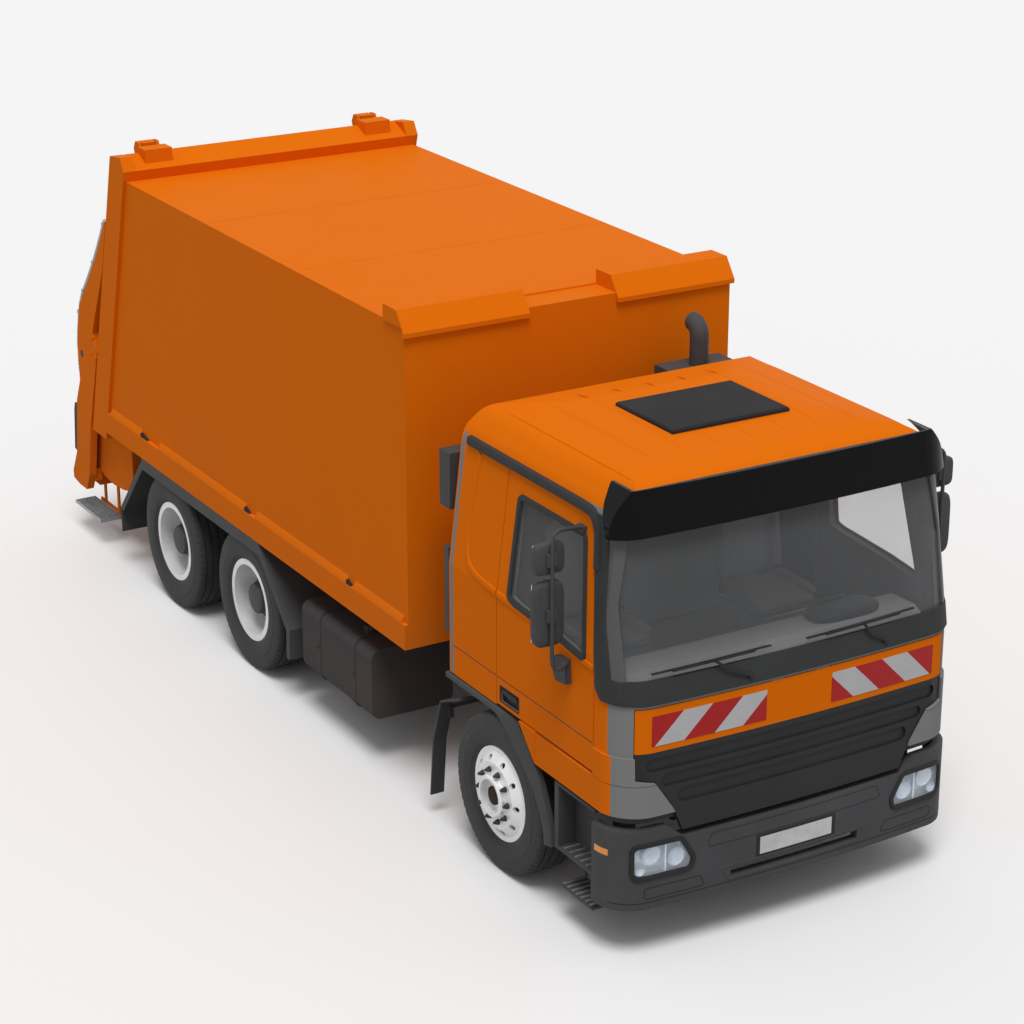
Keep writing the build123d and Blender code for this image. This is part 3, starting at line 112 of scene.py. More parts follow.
def grid_faces(rows, columns, close_rows, close_columns):
    """Quads between neighbouring points of a rows by columns grid, numbered row by row."""
    row = np.arange(rows if close_rows else rows - 1)
    column = np.arange(columns if close_columns else columns - 1)
    r, c = np.meshgrid(row, column, indexing="ij")
    r2, c2 = (r + 1) % rows, (c + 1) % columns
    quads = np.stack([r * columns + c, r2 * columns + c, r2 * columns + c2, r * columns + c2], -1)
    return quads.reshape(-1, 4)


def outward_faces(piece):
    """Turns every face of a closed piece outward, after merging doubled points."""
    work = bmesh.new()
    work.from_mesh(piece.data)
    bmesh.ops.remove_doubles(work, verts=work.verts, dist=1e-5)
    bmesh.ops.recalc_face_normals(work, faces=work.faces)
    work.to_mesh(piece.data)
    work.free()
    return piece


def grid_piece(name, grid, close_rows=False, caps=True, smooth=True):
    """A closed piece from a (rows, columns, 3) grid of rings; caps closes the first and the last ring."""
    rows, columns = grid.shape[:2]
    faces = grid_faces(rows, columns, close_rows, True).tolist()
    if caps:
        faces.append(list(range(columns)))
        faces.append(list(range((rows - 1) * columns, rows * columns))[::-1])
    return outward_faces(mesh_piece(name, grid.reshape(-1, 3), faces, smooth))


print("quads of a 4 by 6 tube:", len(grid_faces(4, 6, False, True)))

# %% [markdown]
# A piece needs a finish and a body to ride on.  Small pieces that share both are joined, because
# one mesh is easier to handle than forty, and a Bevel modifier takes the sharpness off moulded edges.

# %% Joining and edges


def shown(piece, material, body):
    """Gives a piece its finish and the body that it rides on."""
    piece.data.materials.append(material)
    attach(piece, body)
    return piece


def joined(name, pieces, material, body):
    """One object from several, made by stacking their points and shifting their faces."""
    points, faces, offset, smooth = [], [], 0, []
    for piece in pieces:
        mesh = piece.data
        flat = np.zeros(len(mesh.vertices) * 3)
        mesh.vertices.foreach_get("co", flat)
        points.append(flat.reshape(-1, 3))
        faces.extend([[v + offset for v in polygon.vertices] for polygon in mesh.polygons])
        smooth.extend([polygon.use_smooth for polygon in mesh.polygons])
        offset += len(mesh.vertices)
        bpy.data.objects.remove(piece)
    whole = mesh_piece(name, np.concatenate(points), faces)
    whole.data.polygons.foreach_set("use_smooth", smooth)
    whole.data.set_sharp_from_angle(angle=SHARP)
    return shown(whole, material, body)


def beveled(piece):
    """Rounds a piece's sharp edges with a Bevel modifier that only takes edges over 30 degrees."""
    modifier = piece.modifiers.new("edges", "BEVEL")
    modifier.width = EDGE_ROUND
    modifier.segments = 2
    modifier.limit_method = "ANGLE"
    modifier.angle_limit = math.radians(30)
    modifier.harden_normals = True


print("edges sharper than", round(math.degrees(SHARP)), "degrees stay sharp")

# %% [markdown]
# A tube or a strip is a small profile carried along a path.  Each section stands square to the
# path: the path's direction and a fixed "up" give its two axes by cross products.

# %% Sweeps


def unit(vectors):
    """Vectors divided by their lengths."""
    return vectors / np.linalg.norm(vectors, axis=-1, keepdims=True)


def circle(count):
    """Cosines and sines of evenly spaced angles."""
    turn = np.linspace(0, 2 * np.pi, count, endpoint=False)
    return np.cos(turn), np.sin(turn)


def frames_along(path, up):
    """Unit side and top vectors at each point of a path; up must not run along the path."""
    tangent = unit(np.gradient(path, axis=0))
    side = unit(np.cross(tangent, np.asarray(up, float)))
    return side, np.cross(side, tangent)


def swept(name, path, profile, up=(0, 0, 1)):
    """A closed profile of (side, top) offsets carried along the path: point = path + a side + b top."""
    path, profile = np.asarray(path, float), np.asarray(profile, float)
    side, top = frames_along(path, up)
    grid = path[:, None] + side[:, None] * profile[None, :, :1] + top[:, None] * profile[None, :, 1:]
    return grid_piece(name, grid)


def ring_profile(radius, count=12):
    """Points of a circle as (side, top) offsets."""
    return radius * np.stack(circle(count), -1)


def flat_profile(width, thickness):
    """A rectangle centred on the path, as (side, top) offsets."""
    w, t = width / 2, thickness / 2
    return np.array([(-w, -t), (w, -t), (w, t), (-w, t)])


def smooth_path(points, rounds=2):
    """Rows of numbers with their corners rounded: each is cut at a quarter and three quarters, in rounds."""
    path = np.asarray(points, float)
    for _ in range(rounds):
        quarter = path[:-1] * 0.75 + path[1:] * 0.25
        three = path[:-1] * 0.25 + path[1:] * 0.75
        path = np.concatenate([path[:1], np.stack([quarter, three], 1).reshape(-1, path.shape[1]), path[-1:]])
    return path


print("a corner cut twice has", len(smooth_path([(0, 0), (1, 0), (1, 1)])), "points")

# %% [markdown]
# Plates and blocks are outlines made solid between two values along an axis.  Round parts are a
# profile turned about a line.  Both are grids too: two rings for a prism, one per angle for a turning.

# %% Prisms and turnings


def prism(name, outline, low, high, axis="x"):
    """An outline in the two other axes made solid between two values along one axis."""
    outline = np.asarray(outline, float)
    first, second, third = {"x": (1, 2, 0), "y": (0, 2, 1), "z": (0, 1, 2)}[axis]
    points = np.zeros((2, len(outline), 3))
    points[:, :, first] = outline[None, :, 0]
    points[:, :, second] = outline[None, :, 1]
    points[0, :, third] = low
    points[1, :, third] = high
    return grid_piece(name, points, smooth=False)


def block(name, low, high):
    """A box between two corners."""
    low, high = np.minimum(low, high), np.maximum(low, high)
    outline = [(low[0], low[1]), (high[0], low[1]), (high[0], high[1]), (low[0], high[1])]
    return prism(name, outline, low[2], high[2], "z")


def turned(name, profile, centre, axis="x", count=48):
    """A profile of (along, radius) pairs turned about a line through centre: the radius sweeps a circle."""
    profile = np.asarray(profile, float)
    along = np.broadcast_to(profile[:, 0][None], (count, len(profile)))
    first, second = [wave[:, None] * profile[:, 1][None] for wave in circle(count)]
    order = {"x": (along, first, second), "y": (first, along, second), "z": (first, second, along)}[axis]
    return grid_piece(name, np.stack(order, -1) + np.asarray(centre, float), True, False)


def disc(name, start, end, radius, centre, axis="x", count=16):
    """A short cylinder between two places along an axis."""
    return turned(name, [(start, 0.0), (start, radius), (end, radius), (end, 0.0)], centre, axis, count)


print("a turning has", len(circle(48)[0]), "sections")

# %% [markdown]
# Moulded housings are boxes with soft edges.  A superellipse is a circle whose cosine and sine are
# raised to a power below one: the higher its power number, the squarer the section.

# %% Rounded boxes


def superellipse(count, power):
    """Across and up of a rounded square: cosine and sine raised to two over the power, signs kept."""
    return [np.sign(wave) * np.abs(wave) ** (2 / power) for wave in circle(count)]


def rounded_box(name, low, high, power=5.0, rings=13, count=40):
    """A cushion-edged box: superellipse sections whose size follows a superellipse along y."""
    low, high = np.asarray(low, float), np.asarray(high, float)
    centre, half = (low + high) / 2, (high - low) / 2
    slide = np.linspace(-1, 1, rings)
    along = np.sign(slide) * np.abs(slide) ** 0.5
    size = (1 - np.abs(along) ** power) ** (1 / power)
    across, height = superellipse(count, power)
    x = centre[0] + half[0] * size[:, None] * across[None]
    y = np.broadcast_to(centre[1] + half[1] * along[:, None], x.shape)
    z = centre[2] + half[2] * size[:, None] * height[None]
    return grid_piece(name, np.stack([x, y, z], -1))


print("corner of a power 5 section:", np.round(superellipse(8, 5.0)[0][1], 3))

# %% [markdown]
# ## Writing materials as expressions
#
# A material is a small graph.  `Wire` wraps one socket, so that `noise * 0.3 + 0.1` adds the Math
# nodes it needs.

# %% Wires


def operator(operation, swapped=False):
    """A method that joins a wire and another value by one Math node."""
    if swapped:
        return lambda wire, other: wire.math(operation, other, wire)
    return lambda wire, other: wire.math(operation, wire, other)


class Wire:
    """A socket in an expression; each operator adds one Math node to the same tree."""

    def __init__(self, tree, socket):
        self.tree, self.socket = tree, socket

    def math(self, operation, first, second=0.0, clamp=False):
        """One Math node on two values, held to 0 and 1 if clamp is set."""
        node = self.tree.nodes.new("ShaderNodeMath")
        node.operation, node.use_clamp = operation, clamp
        for slot, value in zip(node.inputs, (first, second)):
            plug(self.tree, slot, value)
        return Wire(self.tree, node.outputs[0])

    __add__ = __radd__ = operator("ADD")
    __sub__ = operator("SUBTRACT")
    __rsub__ = operator("SUBTRACT", True)
    __mul__ = __rmul__ = operator("MULTIPLY")
    __truediv__ = operator("DIVIDE")
    __lt__ = operator("LESS_THAN")
    most = operator("MAXIMUM")
    wrapped = operator("FLOORED_MODULO")

    def __abs__(self):
        """The value without its sign."""
        return self.math("ABSOLUTE", self)

    def sine(self):
        """The sine of the value, in radians."""
        return self.math("SINE", self)

    def clamped(self):
        """The value held to 0 and 1."""
        return self.math("ADD", self, 0.0, True)

    def ramp(self, start, end):
        """0 before start, 1 after end, and a straight run between them."""
        return ((self - start) / (end - start)).clamped()


def plug(tree, socket, value):
    """Links a Wire to a socket, or writes a constant into it."""
    if isinstance(value, Wire):
        tree.links.new(value.socket, socket)
    elif hasattr(value, "__len__") and len(value) == 3 and len(socket.default_value) == 4:
        socket.default_value = (*value, 1.0)
    else:
        socket.default_value = value


print("a Wire joins by", sorted(name for name in vars(Wire) if name.endswith("__") and "r" not in name))

# %% [markdown]
# `Finish.node` makes any other node from its type, settings and inputs.  The methods after it are
# the few patterns that this truck's finishes share: noise, cells, a mix of two colours and relief.

# %% Finishes


class Finish:
    """A material under construction."""

    def __init__(self, name):
        self.material = bpy.data.materials.new(name)
        self.material.use_nodes = True
        self.tree = self.material.node_tree
        self.tree.nodes.clear()

    def node(self, kind, settings=None, inputs=None, output=0):
        """Adds a node: its settings first, then its inputs; gives back one output as a Wire."""
        node = self.tree.nodes.new(kind)
        for name, value in (settings or {}).items():
            setattr(node, name, value)
        for name, value in (inputs or {}).items():
            plug(self.tree, node.inputs[name], value)
        return Wire(self.tree, node.outputs[output])

    def place(self, scale=(1, 1, 1)):
        """Object coordinates, stretched."""
        inputs = {"Vector": self.node("ShaderNodeTexCoord", output=3), "Scale": scale}
        return self.node("ShaderNodeMapping", {"vector_type": "POINT"}, inputs)

    def axes(self):
        """The x, y and z of the place as three Wires."""
        split = self.tree.nodes.new("ShaderNodeSeparateXYZ")
        plug(self.tree, split.inputs[0], self.place())
        return [Wire(self.tree, socket) for socket in split.outputs]

    def noise(self, scale, detail=4.0, rough=0.55, place=None):
        """Cloudy noise from 0 to 1 in Object coordinates."""
        inputs = {"Vector": place or self.place(), "Scale": scale, "Detail": detail, "Roughness": rough}
        return self.node("ShaderNodeTexNoise", None, inputs)

    def cells(self, scale, feature="F1", output=0):
        """Cells of one size: the distance to a cell's middle or edge, or its colour."""
        inputs = {"Vector": self.place(), "Scale": scale}
        return self.node("ShaderNodeTexVoronoi", {"feature": feature}, inputs, output)

    def mixed(self, factor, first, second):
        """One colour where the factor is 0 and another where it is 1."""
        return self.node("ShaderNodeMix", {"data_type": "RGBA"}, {0: factor, 6: first, 7: second}, 2)

    def bump(self, height, distance, strength):
        """Relief of a height in metres times distance."""
        inputs = {"Height": height, "Distance": distance, "Strength": strength}
        return self.node("ShaderNodeBump", None, inputs)

    def end(self, shader):
        """Closes the material with a shader."""
        self.tree.links.new(shader.socket, self.tree.nodes.new("ShaderNodeOutputMaterial").inputs[0])
        return self.material

    def surface(self, **inputs):
        """Closes the material with one Principled shader; names use _ for a space."""
        named = {name.replace("_", " "): value for name, value in inputs.items()}
        return self.end(self.node("ShaderNodeBsdfPrincipled", None, named))


print("patterns:", [name for name in vars(Finish) if not name.startswith("_")])

# %% [markdown]
# ## Paint
#
# Municipal orange is a solid colour with a faint ripple, called orange peel.  Road film settles low
# on the truck, so the colour dulls towards the wheels and the roughness varies in soft patches.  The
# cab's skins are lined: their inner faces show a pale lining instead of paint.

# %% Paints
ORANGE = (0.80, 0.168, 0.004)
ROAD_FILM = (0.30, 0.17, 0.09)
LINING = (0.24, 0.24, 0.243)
SKIN = 0.012


def paint(name, colour, film=0.18, film_top=1.5, rough=0.42, lined=None):
    """Solid paint: mix towards road film with falling height, small ripple, patchy roughness."""
    finish = Finish(name)
    _, _, up = finish.axes()
    patches = finish.noise(1.3, 5.0, 0.6)
    low = 1 - up.ramp(0.35, film_top)
    dirt = (low * patches.ramp(0.35, 0.75) * film).clamped()
    tone = finish.mixed(patches.ramp(0.3, 0.8) * 0.10, colour, tuple(0.82 * c for c in colour))
    base = finish.mixed(dirt, tone, ROAD_FILM)
    if lined:
        base = finish.mixed(lined(*finish.axes()), base, LINING)
    peel = finish.bump(finish.noise(38.0, 3.0), 0.0004, 0.25)
    return finish.surface(Base_Color=base, Roughness=dirt * 0.9 + patches * 0.08 + rough, Normal=peel,
                          IOR=1.46, Specular_IOR_Level=0.01)


def inside_sides(x, _, up):
    """One inside the cab's side skins: the side's distance, less the reach of the point and a skin."""
    reach = x.most(x * -1.0)
    return (CAB_SIDE - SKIN - reach - (up - 1.85).most(0.0) * 0.12).ramp(0.0, 0.002)


def inside_front(x, along, up):
    """One on the pillars, which trim covers from outside, and inside the side skins."""
    return up.ramp(1.762, 1.766).most(inside_sides(x, along, up))


def inside_rear(_, along, __):
    """One in front of the rear wall's outer skin."""
    return (along * -1.0 + (CAB_REAR - SKIN)).ramp(0.0, 0.002)


orange = paint("orange_paint", ORANGE)
side_orange = paint("side_orange_paint", ORANGE, lined=inside_sides)
front_orange = paint("front_orange_paint", ORANGE, lined=inside_front)
rear_orange = paint("rear_orange_paint", ORANGE, lined=inside_rear)
body_orange = paint("body_orange_paint", ORANGE, 0.25, 1.9, 0.45)
chassis_black = paint("chassis_black_paint", (0.032, 0.033, 0.036), 0.35, 1.3, 0.5)
tank_grey = paint("tank_grey_paint", (0.066, 0.068, 0.074), 0.25, 1.0, 0.42)
engine_grey = paint("engine_grey_paint", (0.12, 0.12, 0.125), 0.3, 1.3, 0.6)
print("paints:", len(bpy.data.materials))

# %% [markdown]
# ## Plastics, rubber and glass
#
# Bumper, steps and grille are moulded plastic with a fine leather-like grain, so their roughness is
# high and a tight noise drives the bump.  Tyres are darker and more matt, with dust in patches.

# %% Plastics and rubber


def plastic(name, colour, rough=0.55, grain=260.0, relief=0.0006, dust=0.15, gloss=0.18):
    """Grained plastic: fine cells raise the surface, and dust lies in broad patches."""
    finish = Finish(name)
    cells = finish.cells(grain)
    broad = finish.noise(2.2, 4.0)
    dusty = (broad.ramp(0.45, 0.85) * dust).clamped()
    pale = tuple(min(1.0, 3.2 * c + 0.03) for c in colour)
    base = finish.mixed(dusty, colour, pale)
    return finish.surface(Base_Color=base, Roughness=cells * 0.12 + broad * 0.1 + rough,
                          Normal=finish.bump(cells, relief, 0.35), Specular_IOR_Level=gloss)


dark_plastic = plastic("dark_plastic", (0.062, 0.063, 0.066))
black_plastic = plastic("black_plastic", (0.020, 0.020, 0.021), 0.45)
grille_black = plastic("grille_plastic", (0.022, 0.0225, 0.023), 0.38, dust=0.1)
gloss_black = plastic("visor_acrylic", (0.0015, 0.0015, 0.0015), 0.10, 20.0, 0.0001, 0.0, 0.10)
hatch_black = plastic("hatch_plastic", (0.026, 0.026, 0.027), 0.6, gloss=0.08)
trim_grey = plastic("cabin_plastic", (0.26, 0.26, 0.265), 0.6, 140.0, 0.0001, 0.05)
cabin_lining = plastic("cabin_lining", (0.34, 0.34, 0.345), 0.75, 90.0, 0.0001, 0.05)
glass_frit = plastic("glass_frit", (0.105, 0.106, 0.108), 0.25, 60.0, 0.0001, 0.0)
seal_rubber = plastic("seal_rubber", (0.035, 0.036, 0.037), 0.6, 120.0, 0.0003, 0.1)


def tyre_rubber():
    """Dark rubber with a brown-grey dust that varies in patches."""
    finish = Finish("tyre_rubber")
    patches = finish.noise(6.0, 6.0, 0.65)
    base = finish.mixed(patches.ramp(0.35, 0.8) * 0.45, (0.020, 0.020, 0.021), (0.060, 0.057, 0.053))
    return finish.surface(Base_Color=base, Roughness=patches * 0.15 + 0.72,
                          Normal=finish.bump(finish.noise(180.0, 3.0), 0.0006, 0.4))


def clear_glass(name, tint, alpha):
    """Thin glazing: mostly see-through, with a gloss from its own surface and faint dust."""
    finish = Finish(name)
    dust = finish.noise(3.0, 5.0)
    return finish.surface(Base_Color=tint, Roughness=0.02, Alpha=dust.ramp(0.3, 0.9) * 0.04 + alpha,
                          IOR=1.5, Specular_IOR_Level=0.6)


tyre_material = tyre_rubber()
glazing = clear_glass("cab_glass", (0.24, 0.25, 0.26), 0.15)
lamp_cover = clear_glass("lamp_cover_glass", (0.80, 0.85, 0.92), 0.30)
print("plastics, rubber and glass done")

# %% [markdown]
# ## Bare and plated metal
#
# Wheel rims are painted silver, the footboards are galvanised, the packer and the ejector are worn
# bright by refuse, and the lift rods are hard chrome.  Brushed and worn steel gets streaks from a
# noise that is stretched along one axis.

# %% Metals


def silver_paint():
    """Silver paint with brake dust gathering in soft patches."""
    finish = Finish("rim_silver_paint")
    patches = finish.noise(7.0, 5.0, 0.6)
    base = finish.mixed(patches.ramp(0.45, 0.85) * 0.35, (0.90, 0.905, 0.91), (0.46, 0.44, 0.42))
    return finish.surface(Base_Color=base, Roughness=patches * 0.2 + 0.28, Metallic=0.35,
                          Normal=finish.bump(finish.noise(60.0, 3.0), 0.0004, 0.3))


def worn_steel(name, colour, streak=(60.0, 3.0, 60.0), rough=0.35, rust=0.25):
    """Steel scraped along one axis, with rust-brown in patches that a noise of its own sets."""
    finish = Finish(name)
    scrape = finish.noise(1.0, 6.0, 0.6, finish.place(streak))
    rusty = (finish.noise(3.5, 6.0, 0.65).ramp(0.5, 0.8) * rust).clamped()
    base = finish.mixed(rusty, colour, (0.16, 0.075, 0.035))
    return finish.surface(Base_Color=base, Metallic=0.85 - rusty, Roughness=scrape * 0.25 + rough,
                          Normal=finish.bump(scrape, 0.0006, 0.4))


def galvanised_steel():
    """Zinc spangle: cells of slightly different grey, each with its own gloss."""
    finish = Finish("galvanised_steel")
    tone = finish.node("ShaderNodeRGBToBW", None, {"Color": finish.cells(70.0, output=1)})
    base = finish.mixed(tone, (0.30, 0.31, 0.32), (0.46, 0.47, 0.48))
    return finish.surface(Base_Color=base, Metallic=0.7, Roughness=tone * 0.2 + 0.4,
                          Normal=finish.bump(finish.noise(150.0), 0.0003, 0.3))


rim_silver = silver_paint()
scraped_steel = worn_steel("scraped_steel", (0.42, 0.40, 0.38))
galvanised = galvanised_steel()
cast_hub = worn_steel("hub_steel", (0.07, 0.07, 0.07), (30.0, 30.0, 30.0), 0.5, 0.35)
chrome = worn_steel("rod_chrome", (0.80, 0.80, 0.82), (90.0, 90.0, 2.0), 0.08, 0.0)
mirror_silver = worn_steel("mirror_silver", (0.85, 0.86, 0.87), (2.0, 2.0, 2.0), 0.04, 0.0)
print("materials:", len(bpy.data.materials))


# %% [markdown]
# ## Stage, light and camera
#
# A wide pale floor and a white surrounding stand in for a photo studio.  What the camera, gloss and
# glass see of the world is plain white, and what lights the truck is weaker and even.  One broad
# sun-like lamp from high up gives the top its full colour and leaves the sides a little darker.

# %% Floor and world
FLOOR_SIZE = 400.0
AMBIENT = 0.45


def seen(tree):
    """One for rays that the camera sends out, also by way of gloss or glass, and zero for light's own."""
    path = tree.nodes.new("ShaderNodeLightPath")
    rays = [Wire(tree, path.outputs[f"Is {kind} Ray"]) for kind in ("Camera", "Glossy", "Transmission")]
    return rays[0].most(rays[1]).most(rays[2])


def floor_finish():
    """Near-white floor; other rays than the camera's see it darker, so the sides aren't lit from below."""
    finish = Finish("studio_floor")
    base = finish.mixed(seen(finish.tree), (0.42, 0.42, 0.42), (0.93, 0.93, 0.93))
    return finish.end(finish.node("ShaderNodeBsdfDiffuse", None, {"Color": base}))


def studio_world():
    """White for the camera, gloss and glass, and a weaker even light for everything else."""
    world = bpy.data.worlds.new("studio")
    bpy.context.scene.world = world
    world.use_nodes = True
    tree = world.node_tree
    tree.nodes.clear()
    sky = tree.nodes.new("ShaderNodeBackground")
    plug(tree, sky.inputs["Color"], (1.0, 1.0, 1.0))
    plug(tree, sky.inputs["Strength"], seen(tree) * (1.0 - AMBIENT) + AMBIENT)
    tree.links.new(sky.outputs[0], tree.nodes.new("ShaderNodeOutputWorld").inputs[0])


half = FLOOR_SIZE / 2
corners = [(-half, -half, 0), (half, -half, 0), (half, half, 0), (-half, half, 0)]
floor = mesh_piece("floor", corners, [(0, 1, 2, 3)])
floor.data.materials.append(floor_finish())
studio_world()
print("floor", FLOOR_SIZE, "m wide, even light", AMBIENT)

# %% Lamp and camera
scene = bpy.context.scene
lamp = bpy.data.lights.new("key", "SUN")
lamp.energy = 1.82
lamp.angle = math.radians(25)
key = bpy.data.objects.new("key", lamp)
key.rotation_euler = (math.radians(20), math.radians(-12), 0)
scene.collection.objects.link(key)

CAMERA_PLACE = (-8.6574, at(-11.3288), 8.0018)
CAMERA_AIM = (0.4753, 0.8048, -0.3556)
camera_data = bpy.data.cameras.new("view")
camera_data.lens = 93.7
camera_data.sensor_width = 36.0
camera_data.clip_end = 500.0
camera = bpy.data.objects.new("view", camera_data)
camera.location = CAMERA_PLACE
camera.rotation_euler = Vector(CAMERA_AIM).to_track_quat("-Z", "Y").to_euler()
scene.collection.objects.link(camera)
scene.camera = camera
scene.view_settings.view_transform = "Standard"
print("lamp and camera set")


# %% [markdown]
# ## Finishes on the CAD pieces
#
# A CAD piece keeps its mesh; only its material slot changes.  The table goes from the record's
# slots to the finishes above, and a few nodes get a finish of their own.

# %% Finishes by slot
finish_of_slot = {
    "body_orange": body_orange, "cab_orange": orange, "chassis_black": chassis_black,
    "engine_grey": engine_grey, "dark_plastic": dark_plastic, "grille_black": grille_black,
    "tank_grey": tank_grey, "glass": glazing, "lamp_glass": lamp_cover, "lamp_housing": black_plastic,
    "worn_steel": scraped_steel, "galvanised": galvanised, "cylinder_black": chassis_black,
    "rod_chrome": chrome, "tyre": tyre_material, "rim_silver": rim_silver, "seat_fabric": cabin_lining,
}
own_finish = {
    "door_left": side_orange, "door_right": side_orange, "cab_sides": side_orange, "cab_front": front_orange,
    "cab_rear_wall": rear_orange, "sun_visor": gloss_black, "roof_hatch": hatch_black,
    "dashboard": trim_grey, "cab_floor": cabin_lining,
}
subparts = frame["record"]["subparts"]
for subpart in subparts:
    name = subpart["node"]
    data = nodes[name].data
    data.materials.clear()
    data.materials.append(own_finish.get(name, finish_of_slot[subpart["material_slot"]]))
print("dressed", len(subparts), "nodes")


# %% [markdown]
# ## The cab's form as a formula
#
# Seals, stripes and wipers lie on the cab's skin, so they need its shape.  Seen from above, the
# front is a wide arc that meets the sides in round corners; above the windscreen's foot it leans
# back, and above the waist the sides lean in.  The bumper follows the same rule with other numbers.

# %% Cab and bumper surfaces
CAB_OUT = box_of("cab_sides")[1][0]
CAB_CORNER = 0.240
CAB_SHAPE = (0.025, 0.045, CAB_OUT, CAB_CORNER)
CAB_WAIST = 1.850
EAVES_OUT, EAVES_UP = 1.118, 2.700
LEAN_IN = (CAB_OUT - EAVES_OUT) / (EAVES_UP - CAB_WAIST)
GLASS_FOOT = 1.630
GLASS_LEAN = 0.19
BUMPER_OUT, BUMPER_CORNER = 1.250, 0.235
BUMPER_SHAPE = (0.0, 0.062, BUMPER_OUT, BUMPER_CORNER)
STEP = 1e-4


def lean_back(up):
    """How far the front has leaned back at a height: a straight slope above the windscreen's foot."""
    return GLASS_LEAN * np.maximum(np.asarray(up, float) - GLASS_FOOT, 0.0)


def side_out(up):
    """Distance of the side from the middle: constant to the waist, then a straight run to the eaves."""
    rise = (np.asarray(up, float) - CAB_WAIST) / (EAVES_UP - CAB_WAIST)
    return CAB_OUT - (CAB_OUT - EAVES_OUT) * np.maximum(rise, 0.0)


def corner_circle(nose, bow, out, corner):
    """Centre (x, back) of the corner circle, and the arc's radius: (out^2 + bow^2) over twice the bow."""
    arc = (out**2 + bow**2) / (2 * bow)
    centre_x = out - corner
    return centre_x, nose + arc - math.sqrt((arc - corner) ** 2 - centre_x**2), arc


def bowed(x, nose, bow, out, corner):
    """How far back a bowed front lies at x: an arc to where a corner circle touches it, then that circle."""
    x = np.abs(np.asarray(x, float))
    centre_x, centre_back, radius = corner_circle(nose, bow, out, corner)
    touch = radius * centre_x / (radius - corner)
    arc = nose + radius - np.sqrt(radius**2 - np.minimum(x, touch) ** 2)
    turn = centre_back - np.sqrt(np.maximum(corner**2 - np.maximum(x - centre_x, 0.0) ** 2, 0.0))
    return np.where(x <= touch, arc, turn)


def spread(*values):
    """Numbers and arrays brought to one shape."""
    return np.broadcast_arrays(*[np.asarray(value, float) for value in values])


def normal_of(x, shape, lean):
    """The unit normal of a bowed front: slope in x, -1, lean."""
    slope = (bowed(x + STEP, *shape) - bowed(x - STEP, *shape)) / (2 * STEP)
    return unit(np.stack([slope, -np.ones_like(x), lean], -1))


def on_front(x, up, proud=0.0):
    """Points on the cab's front, pushed out along the surface's normal."""
    x, up = spread(x, up)
    normal = normal_of(x, CAB_SHAPE, np.where(up > GLASS_FOOT, GLASS_LEAN, 0.0))
    return np.stack([x, at(bowed(x, *CAB_SHAPE) + lean_back(up)), up], -1) + proud * normal


def on_bumper(x, up, proud=0.0):
    """Points on the bumper's front, pushed out along its level normal, and that normal."""
    x, up = spread(x, up)
    normal = normal_of(x, BUMPER_SHAPE, np.zeros_like(x))
    return np.stack([x, at(bowed(x, *BUMPER_SHAPE)), up], -1) + proud * normal, normal


def on_side(back, up, side, proud=0.0):
    """Points on the cab's side, pushed out level."""
    back, up = spread(back, up)
    return np.stack([side * (side_out(up) + proud), at(back), up], -1)


print("cab half width", round(CAB_OUT, 4))

# %% [markdown]
# Trim on these skins comes in two kinds.  A patch is a thin plate over a grid of surface points, and
# a band is a rounded strip that follows a line of them, such as an outline with round corners.

# %% Patches and bands


def plane_grid(x_low, x_high, columns, up_low, up_high, rows):
    """Evenly spaced places between two distances and two heights, as two grids."""
    return np.meshgrid(np.linspace(x_low, x_high, columns), np.linspace(up_low, up_high, rows), indexing="ij")


def patch(name, points, thickness, inward):
    """A thin plate from a grid of outer points: the same grid moved inward closes it from behind."""
    rows, columns = points.shape[:2]
    back = points + np.asarray(inward, float) * thickness
    count = 2 * rows
    faces = grid_faces(count, columns, True, False).tolist()
    for edge in (0, columns - 1):
        rim = [row * columns + edge for row in range(count)]
        faces += [[rim[r], rim[r + 1], rim[count - 2 - r], rim[count - 1 - r]] for r in range(rows - 1)]
    both = np.concatenate([points, back[::-1]], 0).reshape(-1, 3)
    return outward_faces(mesh_piece(name, both, faces))


def rounded_loop(corners, radius, steps=8, spacing=0.05):
    """A closed flat outline with round corners: each corner becomes an arc, and long runs get points."""
    corners = np.asarray(corners, float)
    path = []
    for corner, before, after in zip(corners, np.roll(corners, 1, 0), np.roll(corners, -1, 0)):
        first, second = unit(before - corner), unit(after - corner)
        half_turn = math.acos(np.clip(first @ second, -1, 1)) / 2
        centre = corner + unit(first + second) * radius / math.sin(half_turn)
        start = corner + first * radius / math.tan(half_turn) - centre
        end = corner + second * radius / math.tan(half_turn) - centre
        angle = math.atan2(start[0] * end[1] - start[1] * end[0], start @ end)
        cos, sin = np.cos(np.linspace(0, angle, steps + 1)), np.sin(np.linspace(0, angle, steps + 1))
        path.append(centre + np.stack([start[0] * cos - start[1] * sin, start[0] * sin + start[1] * cos], -1))
    path = np.concatenate(path)
    ends = np.roll(path, -1, 0)
    return np.concatenate([np.linspace(a, b, max(1, int(np.linalg.norm(b - a) / spacing)), endpoint=False)
                           for a, b in zip(path, ends)])


def banded(name, centre, outward, width, thickness, closed=True, along=None):
    """A band laid on a surface: a rounded rectangle spanned by each point's outward and cross directions."""
    cross = unit(np.cross(outward, directions(centre, closed) if along is None else along))
    turn = np.linspace(0, np.pi, 7)
    share = np.concatenate([[1.0], np.cos(turn) * 0.92, [-1.0]]) / 2
    foot = [-thickness * 0.5]
    across = np.broadcast_to(np.asarray(width, float), (len(centre), 1)) * share
    height = np.concatenate([foot, thickness * (0.35 + 0.65 * np.sin(turn) ** 0.5), foot])
    grid = centre[:, None] + cross[:, None] * across[:, :, None] + outward[:, None] * height[None, :, None]
    return grid_piece(name, grid, closed, not closed)


